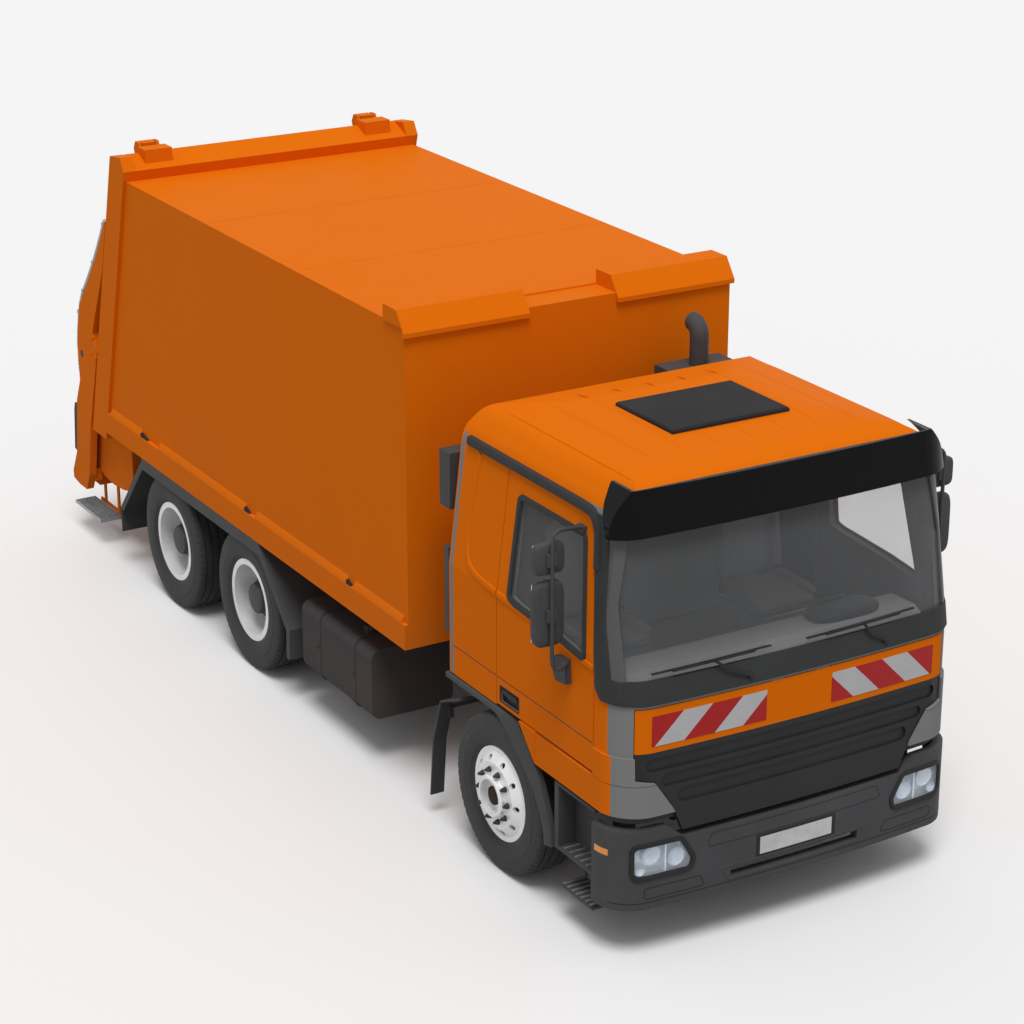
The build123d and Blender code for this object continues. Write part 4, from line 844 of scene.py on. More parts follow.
def directions(path, closed):
    """Unit directions along a path, from each point's two neighbours."""
    return unit(np.roll(path, -1, 0) - np.roll(path, 1, 0) if closed else np.gradient(path, axis=0))


print("points of a rounded square:", len(rounded_loop([(0, 0), (1, 0), (1, 1), (0, 1)], 0.1)))

# %% [markdown]
# ## Tyres
#
# A truck tyre is a ring whose section is a bead, a bulging side and an almost flat tread.  The
# section is a list of (across, radius) pairs, with pairs doubled at the groove walls so that they
# stay steep.  Turning it about the axle gives the ring, and at the shoulders the radius drops and
# rises again with the angle, which cuts the lug gaps.

# %% Tyre section and ring
WHEEL_UP = 0.522
TYRE_WIDTH = 0.296
HALF_TYRE = TYRE_WIDTH / 2
GROOVE_DEPTH = 0.013
LUGS, LUG_GAP, LUG_DEPTH = 60, 0.26, 0.007
TYRE_SECTIONS = 240
SIDE_WALL = [(0.112, 0.287), (0.116, 0.303), (0.127, 0.314), (0.136, 0.332), (0.138, 0.336), (0.140, 0.336),
             (0.1435, 0.352), (0.1465, 0.378), (HALF_TYRE - 0.0005, 0.404), (HALF_TYRE, 0.420),
             (HALF_TYRE, 0.423), (0.1455, 0.427), (0.1450, 0.452), (0.1435, 0.470)]
SHOULDER = [(0.1425, 0.4745), (0.1405, 0.493), (0.1345, 0.5085), (0.126, 0.5155), (0.112, 0.5190)]


def tyre_section():
    """Rows of across, radius and shoulder share: bead, side, shoulder and half the tread, then mirrored."""
    rows = [(*pair, 0.0) for pair in SIDE_WALL] + [(*pair, 1.0) for pair in SHOULDER] + [(0.104, 0.5196, 0.0)]
    for middle in (0.088, 0.031):
        rows += [(middle + 0.0075, WHEEL_UP - 0.0015, 0), (middle + 0.0055, WHEEL_UP - GROOVE_DEPTH, 0),
                 (middle - 0.0055, WHEEL_UP - GROOVE_DEPTH, 0), (middle - 0.0075, WHEEL_UP - 0.0008, 0)]
    rows = np.array(rows)
    return np.concatenate([rows, rows[::-1] * (-1, 1, 1)])


def tyre_grid(centre):
    """Ring of sections: the radius drops by the gap's depth, times the shoulder share, between two lugs."""
    across, radius, shoulder = tyre_section().T[:, None]
    turn = np.linspace(0, 2 * np.pi, TYRE_SECTIONS, endpoint=False)[:, None]
    gap = (np.mod(turn * LUGS / (2 * np.pi) + 0.15 * np.sign(across), 1.0) < LUG_GAP) * LUG_DEPTH
    radius = radius - gap * shoulder
    across = np.broadcast_to(across, radius.shape)
    return np.stack([across, radius * np.cos(turn), radius * np.sin(turn)], -1) + centre


for side_name in SIDES:
    for axle in ("front", "middle", "rear"):
        plural = "" if axle == "front" else "s"
        place = f"{axle}_{side_name}"
        node = f"tyre{plural}_{place}"
        low, high = box_of(node)
        reach = (high[0] - low[0] - TYRE_WIDTH) / 2
        centres = [centre_of(node) + (shift, 0, 0) for shift in ((-reach, reach) if plural else (0,))]
        rings = [grid_piece("ring", tyre_grid(centre), True, False) for centre in centres]
        tyre = joined(f"road_tyre{plural}_{place}", rings, tyre_material, f"wheel_{place}")
        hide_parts(node)
print("tyres done")

# %% [markdown]
# Ten nuts hold each wheel.  A nut is a short hexagon with a chamfered top on a round washer, and
# the stud's end stands out of it.  All ten of a wheel are one piece, made by turning one nut's
# points about the axle.

# %% Wheel nuts
NUTS = 10
NUT_RING = 0.1675
FRONT_WHEEL_OUT, TWIN_WHEEL_OUT = 1.089, 1.085
DISC_OFFSET, DISC_PLATE = 0.165, 0.014


def nut_points():
    """Stacked rings of a washer, a hexagon with a chamfer, and a stud: (rings, 12, 3), along +x."""
    levels = [(0.0, 0.0), (0.0, 0.020), (0.004, 0.020), (0.004, 0.0165), (0.020, 0.0165), (0.023, 0.0135),
              (0.023, 0.0095), (0.036, 0.0095), (0.037, 0.008), (0.037, 0.0)]
    turn = np.linspace(0, 2 * np.pi, 12, endpoint=False)
    hexagon = 1 / np.cos(np.mod(turn, np.pi / 3) - np.pi / 6) * math.cos(math.pi / 6)
    rings = []
    for index, (along, radius) in enumerate(levels):
        out = radius * (hexagon if 3 <= index <= 5 else 1.0)
        rings.append(np.stack([np.full_like(turn, along), out * np.cos(turn), out * np.sin(turn)], -1))
    return np.stack(rings)


def nut_ring(name, centre, face, side, body):
    """Ten nuts on a ring about the axle; each is the first one turned by a tenth more."""
    single = nut_points()
    out = single[..., 1] + NUT_RING
    nuts = []
    for angle in 2 * np.pi * np.arange(NUTS) / NUTS:
        cos, sin = math.cos(angle), math.sin(angle)
        y = centre[1] + out * cos - single[..., 2] * sin
        z = centre[2] + out * sin + single[..., 2] * cos
        nuts.append(grid_piece("nut", np.stack([face + side * single[..., 0], y, z], -1)))
    joined(name, nuts, cast_hub, body)


for side_name, side in SIDES.items():
    nut_ring(f"wheel_nuts_front_{side_name}", centre_of(f"rim_front_{side_name}"),
             side * (FRONT_WHEEL_OUT + DISC_OFFSET), side, f"wheel_front_{side_name}")
    for axle in ("middle", "rear"):
        nut_ring(f"wheel_nuts_{axle}_{side_name}", centre_of(f"rims_{axle}_{side_name}"),
                 side * (TWIN_WHEEL_OUT - DISC_OFFSET + DISC_PLATE), side, f"wheel_{axle}_{side_name}")
print("wheel nuts done")


# %% [markdown]
# ## Seals and rails around the cab
#
# Dark trim covers the pillars from the windscreen's edge to the doors and the strip under the
# windscreen; a rail runs on from each pillar along the roof's side.  A patch is a grid of points on
# the cab's surface.  A band's middle line is a list of places with an outward direction and a width;
# cutting the corners of all seven numbers together rounds the band and turns it smoothly.

# %% Windscreen band


def corner_out(back, up):
    """Distance of the cab's surface from the middle: the lesser of the corner circle's and the side's."""
    centre_x, centre_back, _ = corner_circle(*CAB_SHAPE)
    reach = np.maximum(centre_back + lean_back(up) - back, 0.0)
    return np.minimum(centre_x + np.sqrt(np.maximum(CAB_CORNER**2 - reach**2, 0.0)), side_out(up))


def side_band(name, path, side, width, thickness, material, body, proud=0.0):
    """A band on the cab's side; outward is level below the waist and tilts up above it."""
    rows = []
    for back, up in path:
        tilt = LEAN_IN if up > CAB_WAIST else 0.0
        rows.append(np.concatenate([on_side(back, up, side, proud), (side, 0.0, tilt), [width]]))
    rows = smooth_path(rows, 3)
    along = directions(rows[:, :3], False)
    outward = unit(rows[:, 3:6])
    outward = unit(outward - along * np.sum(outward * along, axis=1, keepdims=True))
    shown(banded(name, rows[:, :3], outward, rows[:, 6:], thickness, False, along), material, body)


PILLAR_UP = np.concatenate([[1.622, 1.628, 1.66, 1.70, 1.745, 1.758, 1.768], np.linspace(1.80, 2.670, 24)])
GLASS_EDGE = np.interp(PILLAR_UP, [1.622, 1.715, 2.200, 2.680], [1.120, 1.138, 1.143, 1.048])
PILLAR_START = on_front(GLASS_EDGE, PILLAR_UP)[:, 1] - FRONT
PILLAR_END = np.interp(PILLAR_UP, [1.622, 1.64, 1.69, 1.80, 2.64, 2.67],
                       [0.285, 0.318, 0.343, 0.343, 0.500, 0.505])
PILLAR_PARTS = (("frit", 1.745, 0.0, 0.36, 0.004, glass_frit), ("trim", 0.0, 0.34, 1.0, 0.011, seal_rubber))
ROOF_RAIL = [(1.93, 2.668), (1.5, 2.668), (1.1, 2.668), (0.80, 2.668), (0.60, 2.668), (0.50, 2.655),
             (0.445, 2.58), (0.425, 2.47), (0.41, 2.36)]
span = np.linspace(0, 1, 12)[None, :]
for side_name, side in SIDES.items():
    for part, foot, start, end, proud, material in PILLAR_PARTS:
        chosen = PILLAR_UP >= foot
        up = PILLAR_UP[chosen][:, None]
        low = np.where(up < 1.765, 0.0, start)
        share = low + (end - low) * span
        back = PILLAR_START[chosen][:, None] * (1 - share) + PILLAR_END[chosen][:, None] * share
        up = np.broadcast_to(up, back.shape)
        ease = proud * np.minimum(1.0, 10 * np.minimum(span, 1 - span) + 0.3)
        points = np.stack([side * (corner_out(back, up) + ease), at(back - ease * 0.6), up], -1)
        pillar = patch(f"pillar_{part}_{side_name}", points, proud + 0.004, (-side * 0.8, 0.6, 0.0))
        shown(pillar, material, "cab")
    side_band(f"roof_rail_{side_name}", ROOF_RAIL, side, 0.062, 0.022, seal_rubber, "cab", 0.003)
foot_trim = on_front(*plane_grid(-1.150, 1.150, 60, 1.622, 1.762, 7), 0.011)
shown(patch("windscreen_foot_trim", foot_trim, 0.020, (0.0, 1.0, 0.0)), seal_rubber, "cab")
print("windscreen trim done")

# %% [markdown]
# The door window's seal is a closed loop on the leaning side, and the waist crease is a low ridge
# that runs on from the door to the panel behind it, so each body gets its own stretch.

# %% Door seals and creases
WINDOW = [(0.445, 1.800), (0.572, 2.510), (1.300, 2.510), (1.310, 1.880), (1.240, 1.862), (0.760, 1.835)]
CREASE = (0.048, 0.010, orange)
SEAM = (0.006, 0.0012, seal_rubber)
CREASE_DOOR = [(0.352, 1.778), (1.08, 1.834), (1.440, 1.855)]
CREASE_CAB = [(1.455, 1.856), (1.74, 1.880), (1.845, 1.96), (1.852, 2.25), (1.79, 2.625)]
SIDE_LINES = {
    "waist_crease": (CREASE_DOOR, CREASE, "door", -0.002),
    "panel_crease": (CREASE_CAB, CREASE, "cab", -0.002),
    "low_seam": ([(1.455, 1.315), (1.985, 1.315)], SEAM, "cab", 0.0),
    "door_seam": ([(0.356, 1.315), (1.438, 1.315)], SEAM, "door", 0.0),
}
loop = rounded_loop(WINDOW, 0.035)
for side_name, side in SIDES.items():
    door = f"door_{side_name}"
    outward = np.tile((side, 0.0, LEAN_IN), (len(loop), 1)) / math.hypot(1.0, LEAN_IN)
    seal = banded(f"window_seal_{side_name}", on_side(*loop.T, side), outward, 0.042, 0.011)
    shown(seal, seal_rubber, door)
    for line, (path, kind, body, proud) in SIDE_LINES.items():
        side_band(f"{line}_{side_name}", path, side, *kind, door if body == "door" else "cab", proud)
print("door seals and creases done")

# %% [markdown]
# The roof is stiffened by nine thin ribs.  Its height is the lower of a section rule and a profile
# rule: flat in the middle, a straight fall to each shoulder and towards the brow, and rounded where
# those runs meet, which lowers the corner by the square of the distance over twice the radius.

# %% Roof ribs
CROWN = 2.920
RIB_POINTS = 24
HATCH_REACH = 0.44


def roof_up(x, back):
    """Height of the roof: crown, less the greater of the falls to the side and to the brow, rounded."""
    across = np.maximum(np.abs(x) - 0.60, 0.0) * (0.055 / 0.385)
    across = across + np.maximum(np.abs(x) - 0.894, 0.0) ** 2 / 0.46
    forward = np.maximum(0.82 - back, 0.0) * (0.035 / 0.42)
    forward = forward + np.maximum(0.52 - back, 0.0) ** 2 / 1.4
    return CROWN - np.maximum(across, forward)


taper = np.minimum(np.arange(RIB_POINTS), np.arange(RIB_POINTS)[::-1]).clip(0, 2) / 2
turn = np.linspace(0, np.pi, 6)
across = 0.006 * np.cos(turn)[None, :] * np.ones_like(taper)[:, None]
height = (0.004 * np.sin(turn)[None, :]) * taper[:, None] - 0.0006
offsets = np.stack([across, np.zeros_like(across), height], -1)
ribs = []
for rib_x in np.linspace(-0.95, 0.95, 9):
    for start, end in ([(0.42, 0.775), (1.415, 1.72)] if abs(rib_x) < HATCH_REACH else [(0.40, 1.74)]):
        back = np.linspace(start, end, RIB_POINTS)
        x = np.full_like(back, rib_x)
        path = np.stack([x, at(back), roof_up(x, back)], -1)
        ribs.append(grid_piece("rib", path[:, None] + offsets))
joined("roof_ribs", ribs, orange, "cab")
print("roof ribs done")

# %% [markdown]
# ## Warning stripes
#
# Two plates on the front flap carry red and white stripes that rise towards the middle on both
# sides.  The shader adds |x| and z: where that sum, wrapped to one period, is in its first half, the
# stripe is red.

# %% Stripe plates
STRIPE_PERIOD, RED_WIDTH, STRIPE_START = 0.40, 0.205, 2.56


def stripe_finish():
    """Reflective red and white stripes with a fine prism pattern in the bump."""
    finish = Finish("warning_stripes")
    x, _, up = finish.axes()
    red = (abs(x) * -1.0 - up + STRIPE_START).wrapped(STRIPE_PERIOD) < RED_WIDTH
    fade = finish.noise(9.0, 4.0)
    white = finish.mixed(fade, (0.56, 0.56, 0.57), (0.44, 0.44, 0.45))
    strong = finish.mixed(fade, (0.46, 0.003, 0.004), (0.36, 0.003, 0.004))
    prisms = finish.bump(finish.cells(220.0, "DISTANCE_TO_EDGE"), 0.0004, 0.3)
    return finish.surface(Base_Color=finish.mixed(red, white, strong), Roughness=fade * 0.1 + 0.35,
                          Normal=prisms, Specular_IOR_Level=0.3)


stripes = stripe_finish()
for side_name, side in SIDES.items():
    points = on_front(*plane_grid(side * 0.235, side * 1.010, 24, 1.362, 1.550, 4), 0.003)
    shown(patch(f"stripe_plate_{side_name}", points, 0.004, (0, 1, 0)), stripes, "flap")
print("stripe plates done")

# %% [markdown]
# ## Wipers
#
# Each wiper has a pivot on the band, a bent arm and a blade with its own bridge.  All are paths on
# the windscreen, lifted off the glass by a few centimetres.

# %% Wiper arms and blades
GLASS_OUT = (0, -1, 0.2)
ARM_PROUD = (0.024, 0.034, 0.036)


def wiper(name, pivot, elbow, left, right):
    """One wiper: arm from the pivot over the elbow to the blade's middle, and the blade between two ends."""
    left, right = np.array(left), np.array(right)
    stations = (pivot, elbow, (left + right) / 2)
    arm_path = smooth_path([on_front(*place, lift) for place, lift in zip(stations, ARM_PROUD)])
    x, up = (left + (right - left) * np.linspace(0, 1, 14)[:, None]).T
    knob = [(-0.034, 0.0), (-0.034, 0.012), (-0.016, 0.022), (0.03, 0.026), (0.03, 0.0)]
    joined(name, [
        swept("arm", arm_path, flat_profile(0.016, 0.008), GLASS_OUT),
        swept("rubber", on_front(x, up, 0.004), flat_profile(0.008, 0.022), GLASS_OUT),
        swept("spine", on_front(x[2:-2], up[2:-2], 0.026), flat_profile(0.014, 0.009), GLASS_OUT),
        turned("knob", knob, on_front(*pivot), "y", 20),
    ], black_plastic, "cab")


wiper("wiper_right", (-0.36, 1.672), (-0.50, 1.735), (-1.00, 1.800), (-0.20, 1.812))
wiper("wiper_left", (0.62, 1.672), (0.50, 1.742), (0.06, 1.800), (0.86, 1.812))
print("wipers done")

# %% [markdown]
# ## Mirrors
#
# The housings are boxes with large round edges: a superellipse in each section, drawn in towards
# the front and rear.  Each hangs on a tube that bends into the door, and a square bracket plate
# joins tube and housing.  The mirror glass lies in the rear face.

# %% Mirror housings, arms and glass
HEAD_UP = 2.545
ARM_BACK = 0.514
HOUSINGS = ((1.886, 2.284, 0.607), (2.331, 2.519, 0.597))
PANES = ((1.910, 2.262, 0.603), (2.348, 2.502, 0.593))
FOOT = [(0.585, 1.600), (0.700, 1.585), (0.735, 1.640), (0.715, 1.740), (0.600, 1.750)]
for side_name, side in SIDES.items():
    node = f"mirror_{side_name}"
    low, high = box_of(node)
    middle = side * (max(abs(low[0]), abs(high[0])) - 0.100)
    shells = [rounded_box("housing", (middle - 0.099, at(0.530), foot), (middle + 0.099, at(rear), head))
              for foot, head, rear in HOUSINGS]
    for up in (2.085, 2.425):
        low, high = (middle - 0.032, at(0.512), up - 0.038), (middle + 0.032, at(0.540), up + 0.038)
        shells.append(block("plate", low, high))
    head = side * (side_out(HEAD_UP) - 0.004)
    tube = [(head, 0.600, HEAD_UP), (side * 1.24, 0.560, 2.575)]
    tube += [(middle, ARM_BACK, up) for up in (2.604, 2.45, 1.95, 1.756)]
    tube += [(side * 1.33, ARM_BACK, 1.744), (side * 1.245, 0.600, 1.735)]
    path = smooth_path([(x, at(back), up) for x, back, up in tube], 3)
    shells.append(swept("tube", path, ring_profile(0.0125), (0.05, 1, 0.02)))
    foot = [(at(back), up) for back, up in FOOT]
    shells.append(prism("foot", foot, side * (CAB_OUT - 0.001), side * 1.262))
    low, high = (head - side * 0.02, at(0.570), 2.527), (head + side * 0.035, at(0.640), 2.561)
    shells.append(block("shoe", low, high))
    mirror = joined(f"mirror_housing_{side_name}", shells, dark_plastic, f"door_{side_name}")
    beveled(mirror)
    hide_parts(node)
    panes = [block("pane", (middle - 0.082, at(back), foot), (middle + 0.082, at(back + 0.0049), head_up))
             for foot, head_up, back in PANES]
    joined(f"mirror_glass_{side_name}", panes, mirror_silver, f"door_{side_name}")
print("mirrors done")

# %% [markdown]
# ## Door handles
#
# A dark tray fills the recess in each door, and a flat grip bridges it.

# %% Handles
TRAY_RIM = rounded_loop([(1.184, 1.164), (1.406, 1.164), (1.406, 1.266), (1.184, 1.266)], 0.008)
for side_name, side in SIDES.items():
    deep, flush = side * (CAB_OUT - 0.0285), side * (CAB_OUT - 0.002)
    outward = np.tile((side, 0.0, 0.0), (len(TRAY_RIM), 1))
    grip = sorted((flush, deep + side * 0.014))
    joined(f"door_handle_{side_name}", [
        block("floor", (deep, at(1.1805), 1.1605), (deep + side * 0.006, at(1.4095), 1.2695)),
        banded("rim", on_side(*TRAY_RIM.T, side), outward, 0.010, 0.003),
        rounded_box("grip", (grip[0], at(1.205), 1.212), (grip[1], at(1.385), 1.250), 4.0, 13, 24),
        disc("lock", -0.006, 0.006, 0.011, (deep + side * 0.008, at(1.385), 1.185), "x", 20),
    ], black_plastic, f"door_{side_name}")
print("door handles done")

# %% [markdown]
# ## Skirt under the corner panels
#
# A grey skirt closes the gap between the orange corner panels and the bumper's shoulders.  It
# follows the cab's plan, drawn in: along the front arc, around the corner circle, then the side.

# %% Corner skirts
INSET = 0.042
SKIRT_MIDDLE = np.array([0.75, 0.42])
SKIRT_LEVELS = [(0.860, 0.000), (0.866, 0.010), (0.915, -0.010), (0.925, -0.016)]
centre_x = CAB_OUT - CAB_CORNER
centre_back = float(bowed(centre_x, *CAB_SHAPE)) + CAB_CORNER
radius = CAB_CORNER - INSET
plan = [(x, float(bowed(x, *CAB_SHAPE)) + INSET) for x in np.linspace(0.80, centre_x, 8)[:-1]]
for angle in np.linspace(0, math.pi / 2, 14):
    plan.append((centre_x + radius * math.sin(angle), centre_back - radius * math.cos(angle)))
plan = np.array(plan + [(CAB_OUT - INSET, 0.345)])
away = unit(plan - SKIRT_MIDDLE)
for side_name, side in SIDES.items():
    rows = []
    for up, grow in SKIRT_LEVELS:
        spot = plan + away * grow
        rows.append(np.stack([side * spot[:, 0], at(spot[:, 1]), np.full(len(spot), up)], -1))
    inward = np.stack([-side * away[:, 0], -away[:, 1], np.zeros(len(plan))], -1)
    shown(patch(f"corner_skirt_{side_name}", np.stack(rows), 0.012, inward), dark_plastic, "cab")
print("corner skirts done")


# %% [markdown]
# ## Bumper, lamps and plate
#
# Frames and trim are bands on the bumper's surface, and the plate's parts are thin patches on it.

# %% Bumper helpers


def bumper_band(name, corners, radius, width, thickness, material=black_plastic):
    """A closed band on the bumper that follows a rounded outline of (x, up) corners."""
    centre, outward = on_bumper(*rounded_loop(corners, radius, 8, 0.03).T)
    shown(banded(name, centre, outward, width, thickness), material, "chassis")


def bumper_patch(name, half_width, up_low, up_high, proud, thickness, material):
    """A thin plate lying on the middle of the bumper."""
    points, _ = on_bumper(*plane_grid(-half_width, half_width, 16, up_low, up_high, 3), proud)
    shown(patch(name, points, thickness, (0, 1, 0)), material, "chassis")


print("bumper half width", BUMPER_OUT)

# %% [markdown]
# A headlamp is read through its clear cover: a silvered box with a round reflector and a low beam
# bowl beside it.  The bowls are paraboloids, whose depth grows with the square of the radius.

# %% Headlamps
LAMP = [(0.742, 0.530), (1.125, 0.530), (1.125, 0.745), (0.808, 0.745), (0.722, 0.602)]
BOWLS = ((0.835, 0.622, -0.014, 0.058, 0.026), (1.000, 0.668, -0.016, 0.062, 0.026),
         (1.070, 0.578, -0.018, 0.034, 0.020))   # x, up, proud, radius, depth


def reflector_finish():
    """Silvered plastic with soft vertical flutes; the cool blue patches in its colour are a painted
    reflection of sky.
    """
    finish = Finish("lamp_reflector")
    x, _, _ = finish.axes()
    painted_reflection_patches = finish.noise(14.0, 3.0)
    # The blue patches are a painted reflection of sky laid into the silver colour; the same patches also vary
    # the roughness.
    base = finish.mixed(painted_reflection_patches.ramp(0.35, 0.7), (0.62, 0.72, 0.84), (0.86, 0.90, 0.95))
    return finish.surface(Base_Color=base, Metallic=0.35, Roughness=painted_reflection_patches * 0.2 + 0.15,
                          Normal=finish.bump((x * 260.0).sine(), 0.0015, 0.4))


def bowl(centre, radius, depth):
    """A paraboloid bowl open to the front: depth back from the rim is depth times (1 - share squared)."""
    share = np.linspace(1.0, 0.0, 9)[:, None]
    cos, sin = circle(36)
    y = centre[1] + depth * (1 - share**2) + 0 * cos
    inner = np.stack([centre[0] + radius * share * cos, y, centre[2] + radius * share * sin], -1)
    outer = inner[::-1] + np.array([0, 0.004, 0])
    return grid_piece("bowl", np.concatenate([inner, outer], 0), True, False)


reflector = reflector_finish()
for side_name, side in SIDES.items():
    bumper_band(f"lamp_bezel_{side_name}", [(side * x, up) for x, up in LAMP], 0.045, 0.034, 0.010)
    x, up = plane_grid(side * 0.735, side * 1.118, 20, 0.537, 0.738, 6)
    shelf = on_bumper(x, up, -0.047)[0]
    shelf[..., 0] = side * np.clip(x * side, 0.735 + np.maximum(0.0, 0.62 - up) * 0.6, 1.118)
    inside = [patch("back", shelf, 0.003, (0, 1, 0))]
    for x, up, proud, radius, depth in BOWLS:
        inside.append(bowl(on_bumper(side * x, up, proud)[0], radius, depth))
    divider = on_bumper(side * 0.912, [0.545, 0.735], -0.020)[0]
    inside.append(swept("divider", divider, flat_profile(0.010, 0.028), (0, 1, 0)))
    joined(f"lamp_reflector_{side_name}", inside, reflector, "chassis")
print("headlamps done")

# %% [markdown]
# Amber side markers sit at the bumper's corners.  The number plate is blank: a pale plate in a dark
# frame with two screws.

# %% Markers and plate
MARKER_TURN = np.linspace(0.02, 0.78, 9) * 0.62 - 0.02


def amber_finish():
    """Amber lens over ribs that run up and down."""
    finish = Finish("amber_lens")
    _, along, _ = finish.axes()
    ribs = (along * 700.0).sine()
    tone = finish.mixed(finish.noise(30.0), (0.85, 0.22, 0.0), (0.95, 0.33, 0.01))
    return finish.surface(Base_Color=tone, Roughness=ribs * 0.04 + 0.16, Coat_Weight=0.6,
                          Normal=finish.bump(ribs, 0.0008, 0.4))


def plate_finish():
    """Pale reflective sheet with faint dust."""
    finish = Finish("blank_plate")
    dust = finish.noise(16.0, 5.0)
    base = finish.mixed(dust.ramp(0.4, 0.8) * 0.5, (0.62, 0.63, 0.63), (0.42, 0.41, 0.38))
    return finish.surface(Base_Color=base, Roughness=dust * 0.2 + 0.35)


amber = amber_finish()
centre_x, centre_back, _ = corner_circle(*BUMPER_SHAPE)
angle, up = np.meshgrid(MARKER_TURN, np.linspace(0.672, 0.712, 4), indexing="ij")
x, back = centre_x + BUMPER_CORNER * np.cos(angle), centre_back - BUMPER_CORNER * np.sin(angle)
for side_name, side in SIDES.items():
    points = np.stack([side * (x - 0.0005), at(back - 0.0005), up], -1)
    shown(patch(f"side_marker_{side_name}", points, 0.004, (-side, 0.35, 0.0)), amber, "chassis")
bumper_patch("number_plate", 0.262, 0.500, 0.612, 0.0014, 0.004, plate_finish())
bumper_patch("plate_carrier", 0.290, 0.487, 0.632, 0.0007, 0.010, black_plastic)
plate_edge = [(-0.272, 0.493), (0.272, 0.493), (0.272, 0.619), (-0.272, 0.619)]
bumper_band("plate_frame", plate_edge, 0.006, 0.014, 0.0022)
screw = [(-0.005, 0.0), (-0.005, 0.004), (-0.002, 0.007), (0.002, 0.007), (0.002, 0.0)]
screws = [turned("screw", screw, on_bumper(x, 0.598, -0.0018)[0], "y", 16) for x in (-0.150, 0.150)]
joined("plate_screws", screws, galvanised, "chassis")
print("markers and plate done")

# %% [markdown]
# The bumper is moulded in sections: fine grooves mark the towing cover in the middle, the lower lip
# and the fog-lamp blanks, and the slot in the middle has a raised frame.

# %% Bumper seams
SLOT = [(-0.480, 0.392), (0.480, 0.392), (0.530, 0.475), (0.470, 0.478), (-0.470, 0.478), (-0.530, 0.475)]
COVER = [(-0.64, 0.640), (0.64, 0.640), (0.60, 0.725), (-0.60, 0.725)]
FOG_BLANK = [(0.64, 0.395), (1.05, 0.395), (1.05, 0.465), (0.68, 0.465)]
bumper_band("slot_frame", SLOT, 0.010, 0.018, 0.0022, dark_plastic)
bumper_band("towing_cover", COVER, 0.02, 0.005, 0.001)
for side_name, side in SIDES.items():
    bumper_band(f"fog_blank_{side_name}", [(side * x, up) for x, up in FOG_BLANK], 0.02, 0.006, 0.0015)
lip, lip_out = on_bumper(np.linspace(-1.225, 1.225, 90), 0.372)
shown(banded("lip_line", lip, lip_out, 0.007, 0.0012, False), black_plastic, "chassis")
print("bumper seams done")


# %% [markdown] ## Inside the cab  Seats are padded: each cushion is a grid over its plan whose
# height falls away near the edges, so it bulges in the middle and has a rounded rim, with stitched
# channels.

# %% Cushions
ACROSS, ALONG, UPWARD = (1, 0, 0), (0, 1, 0), (0, 0, 1)
BACK_ALONG = unit(np.array([0.0, 0.100, 0.690]))
BACK_OUT = np.array([0.0, -BACK_ALONG[2], BACK_ALONG[1]])
LIE = (ACROSS, ALONG, UPWARD)
STAND = (ACROSS, BACK_ALONG, BACK_OUT)
BELT = ((0.560, 2.20), (0.53, 1.95), (0.50, 1.70), (0.40, 1.53))


def fabric_finish(name, colour, thread):
    """Woven cloth: two crossed waves raise warp and weft, and their product mixes two thread colours."""
    finish = Finish(name)
    x, along, up = finish.axes()
    weave = ((x * 900.0).sine() * (along * 700.0 + up * 700.0).sine() * 0.5 + 0.5).clamped()
    wear = finish.noise(9.0, 5.0)
    base = finish.mixed(weave * 0.35 + wear * 0.25, colour, thread)
    return finish.surface(Base_Color=base, Roughness=wear * 0.1 + 0.85,
                          Normal=finish.bump(weave, 0.0012, 0.6))


def cushion(centre, axes, size, bulge, channels=3, power=4.0, count=72):
    """A padded cushion: superellipse rings about its middle, swelling by bulge, with stitched channels.

    Each ring is the outline scaled by its share; height rises as (1 - share^power)^(1/3) on both
    faces, and small dents across the width and along two lines press in the stitches.
    """
    across, along, out = [np.asarray(axis, float) for axis in axes]
    half_w, half_l, half_t = np.array(size) / 2
    share = np.sin(np.linspace(0, np.pi / 2, 22))[:, None]
    rim_x, rim_y = superellipse(count, 6)
    u, v = share * rim_x, share * rim_y
    rise = (1 - share**power) ** (1 / 3) * np.ones_like(u)
    lines = 0.006 * np.exp(-(((np.abs(u) - 0.55) / 0.035) ** 2))
    dents = 0.004 * np.exp(-((np.sin(v * np.pi * channels) / 0.16) ** 2)) * (np.abs(u) < 0.55)
    crown = bulge * np.cos(u * np.pi / 2) * np.cos(v * np.pi / 2)
    top = (half_t * 0.82 + crown - lines - dents) * rise
    plan = centre + u[..., None] * half_w * across + v[..., None] * half_l * along
    face, base = plan + top[..., None] * out, plan - (half_t * rise)[..., None] * out
    return grid_piece("cushion", np.concatenate([face, base[::-1][1:]], 0), False, False)


print("backrest leans", round(math.degrees(math.atan2(*BACK_ALONG[1:])), 1), "degrees")

# %% [markdown]
# A seat has a base cushion, a backrest and a headrest, each with side bolsters, on a hard shell.
# A belt strap runs down beside it to its buckle.

# %% Seats
seat_cloth = fabric_finish("seat_cloth", (0.17, 0.172, 0.18), (0.34, 0.34, 0.35))
belt_web = fabric_finish("belt_webbing", (0.030, 0.030, 0.032), (0.06, 0.06, 0.062))
seat_front = box_of("seats")[0][1]


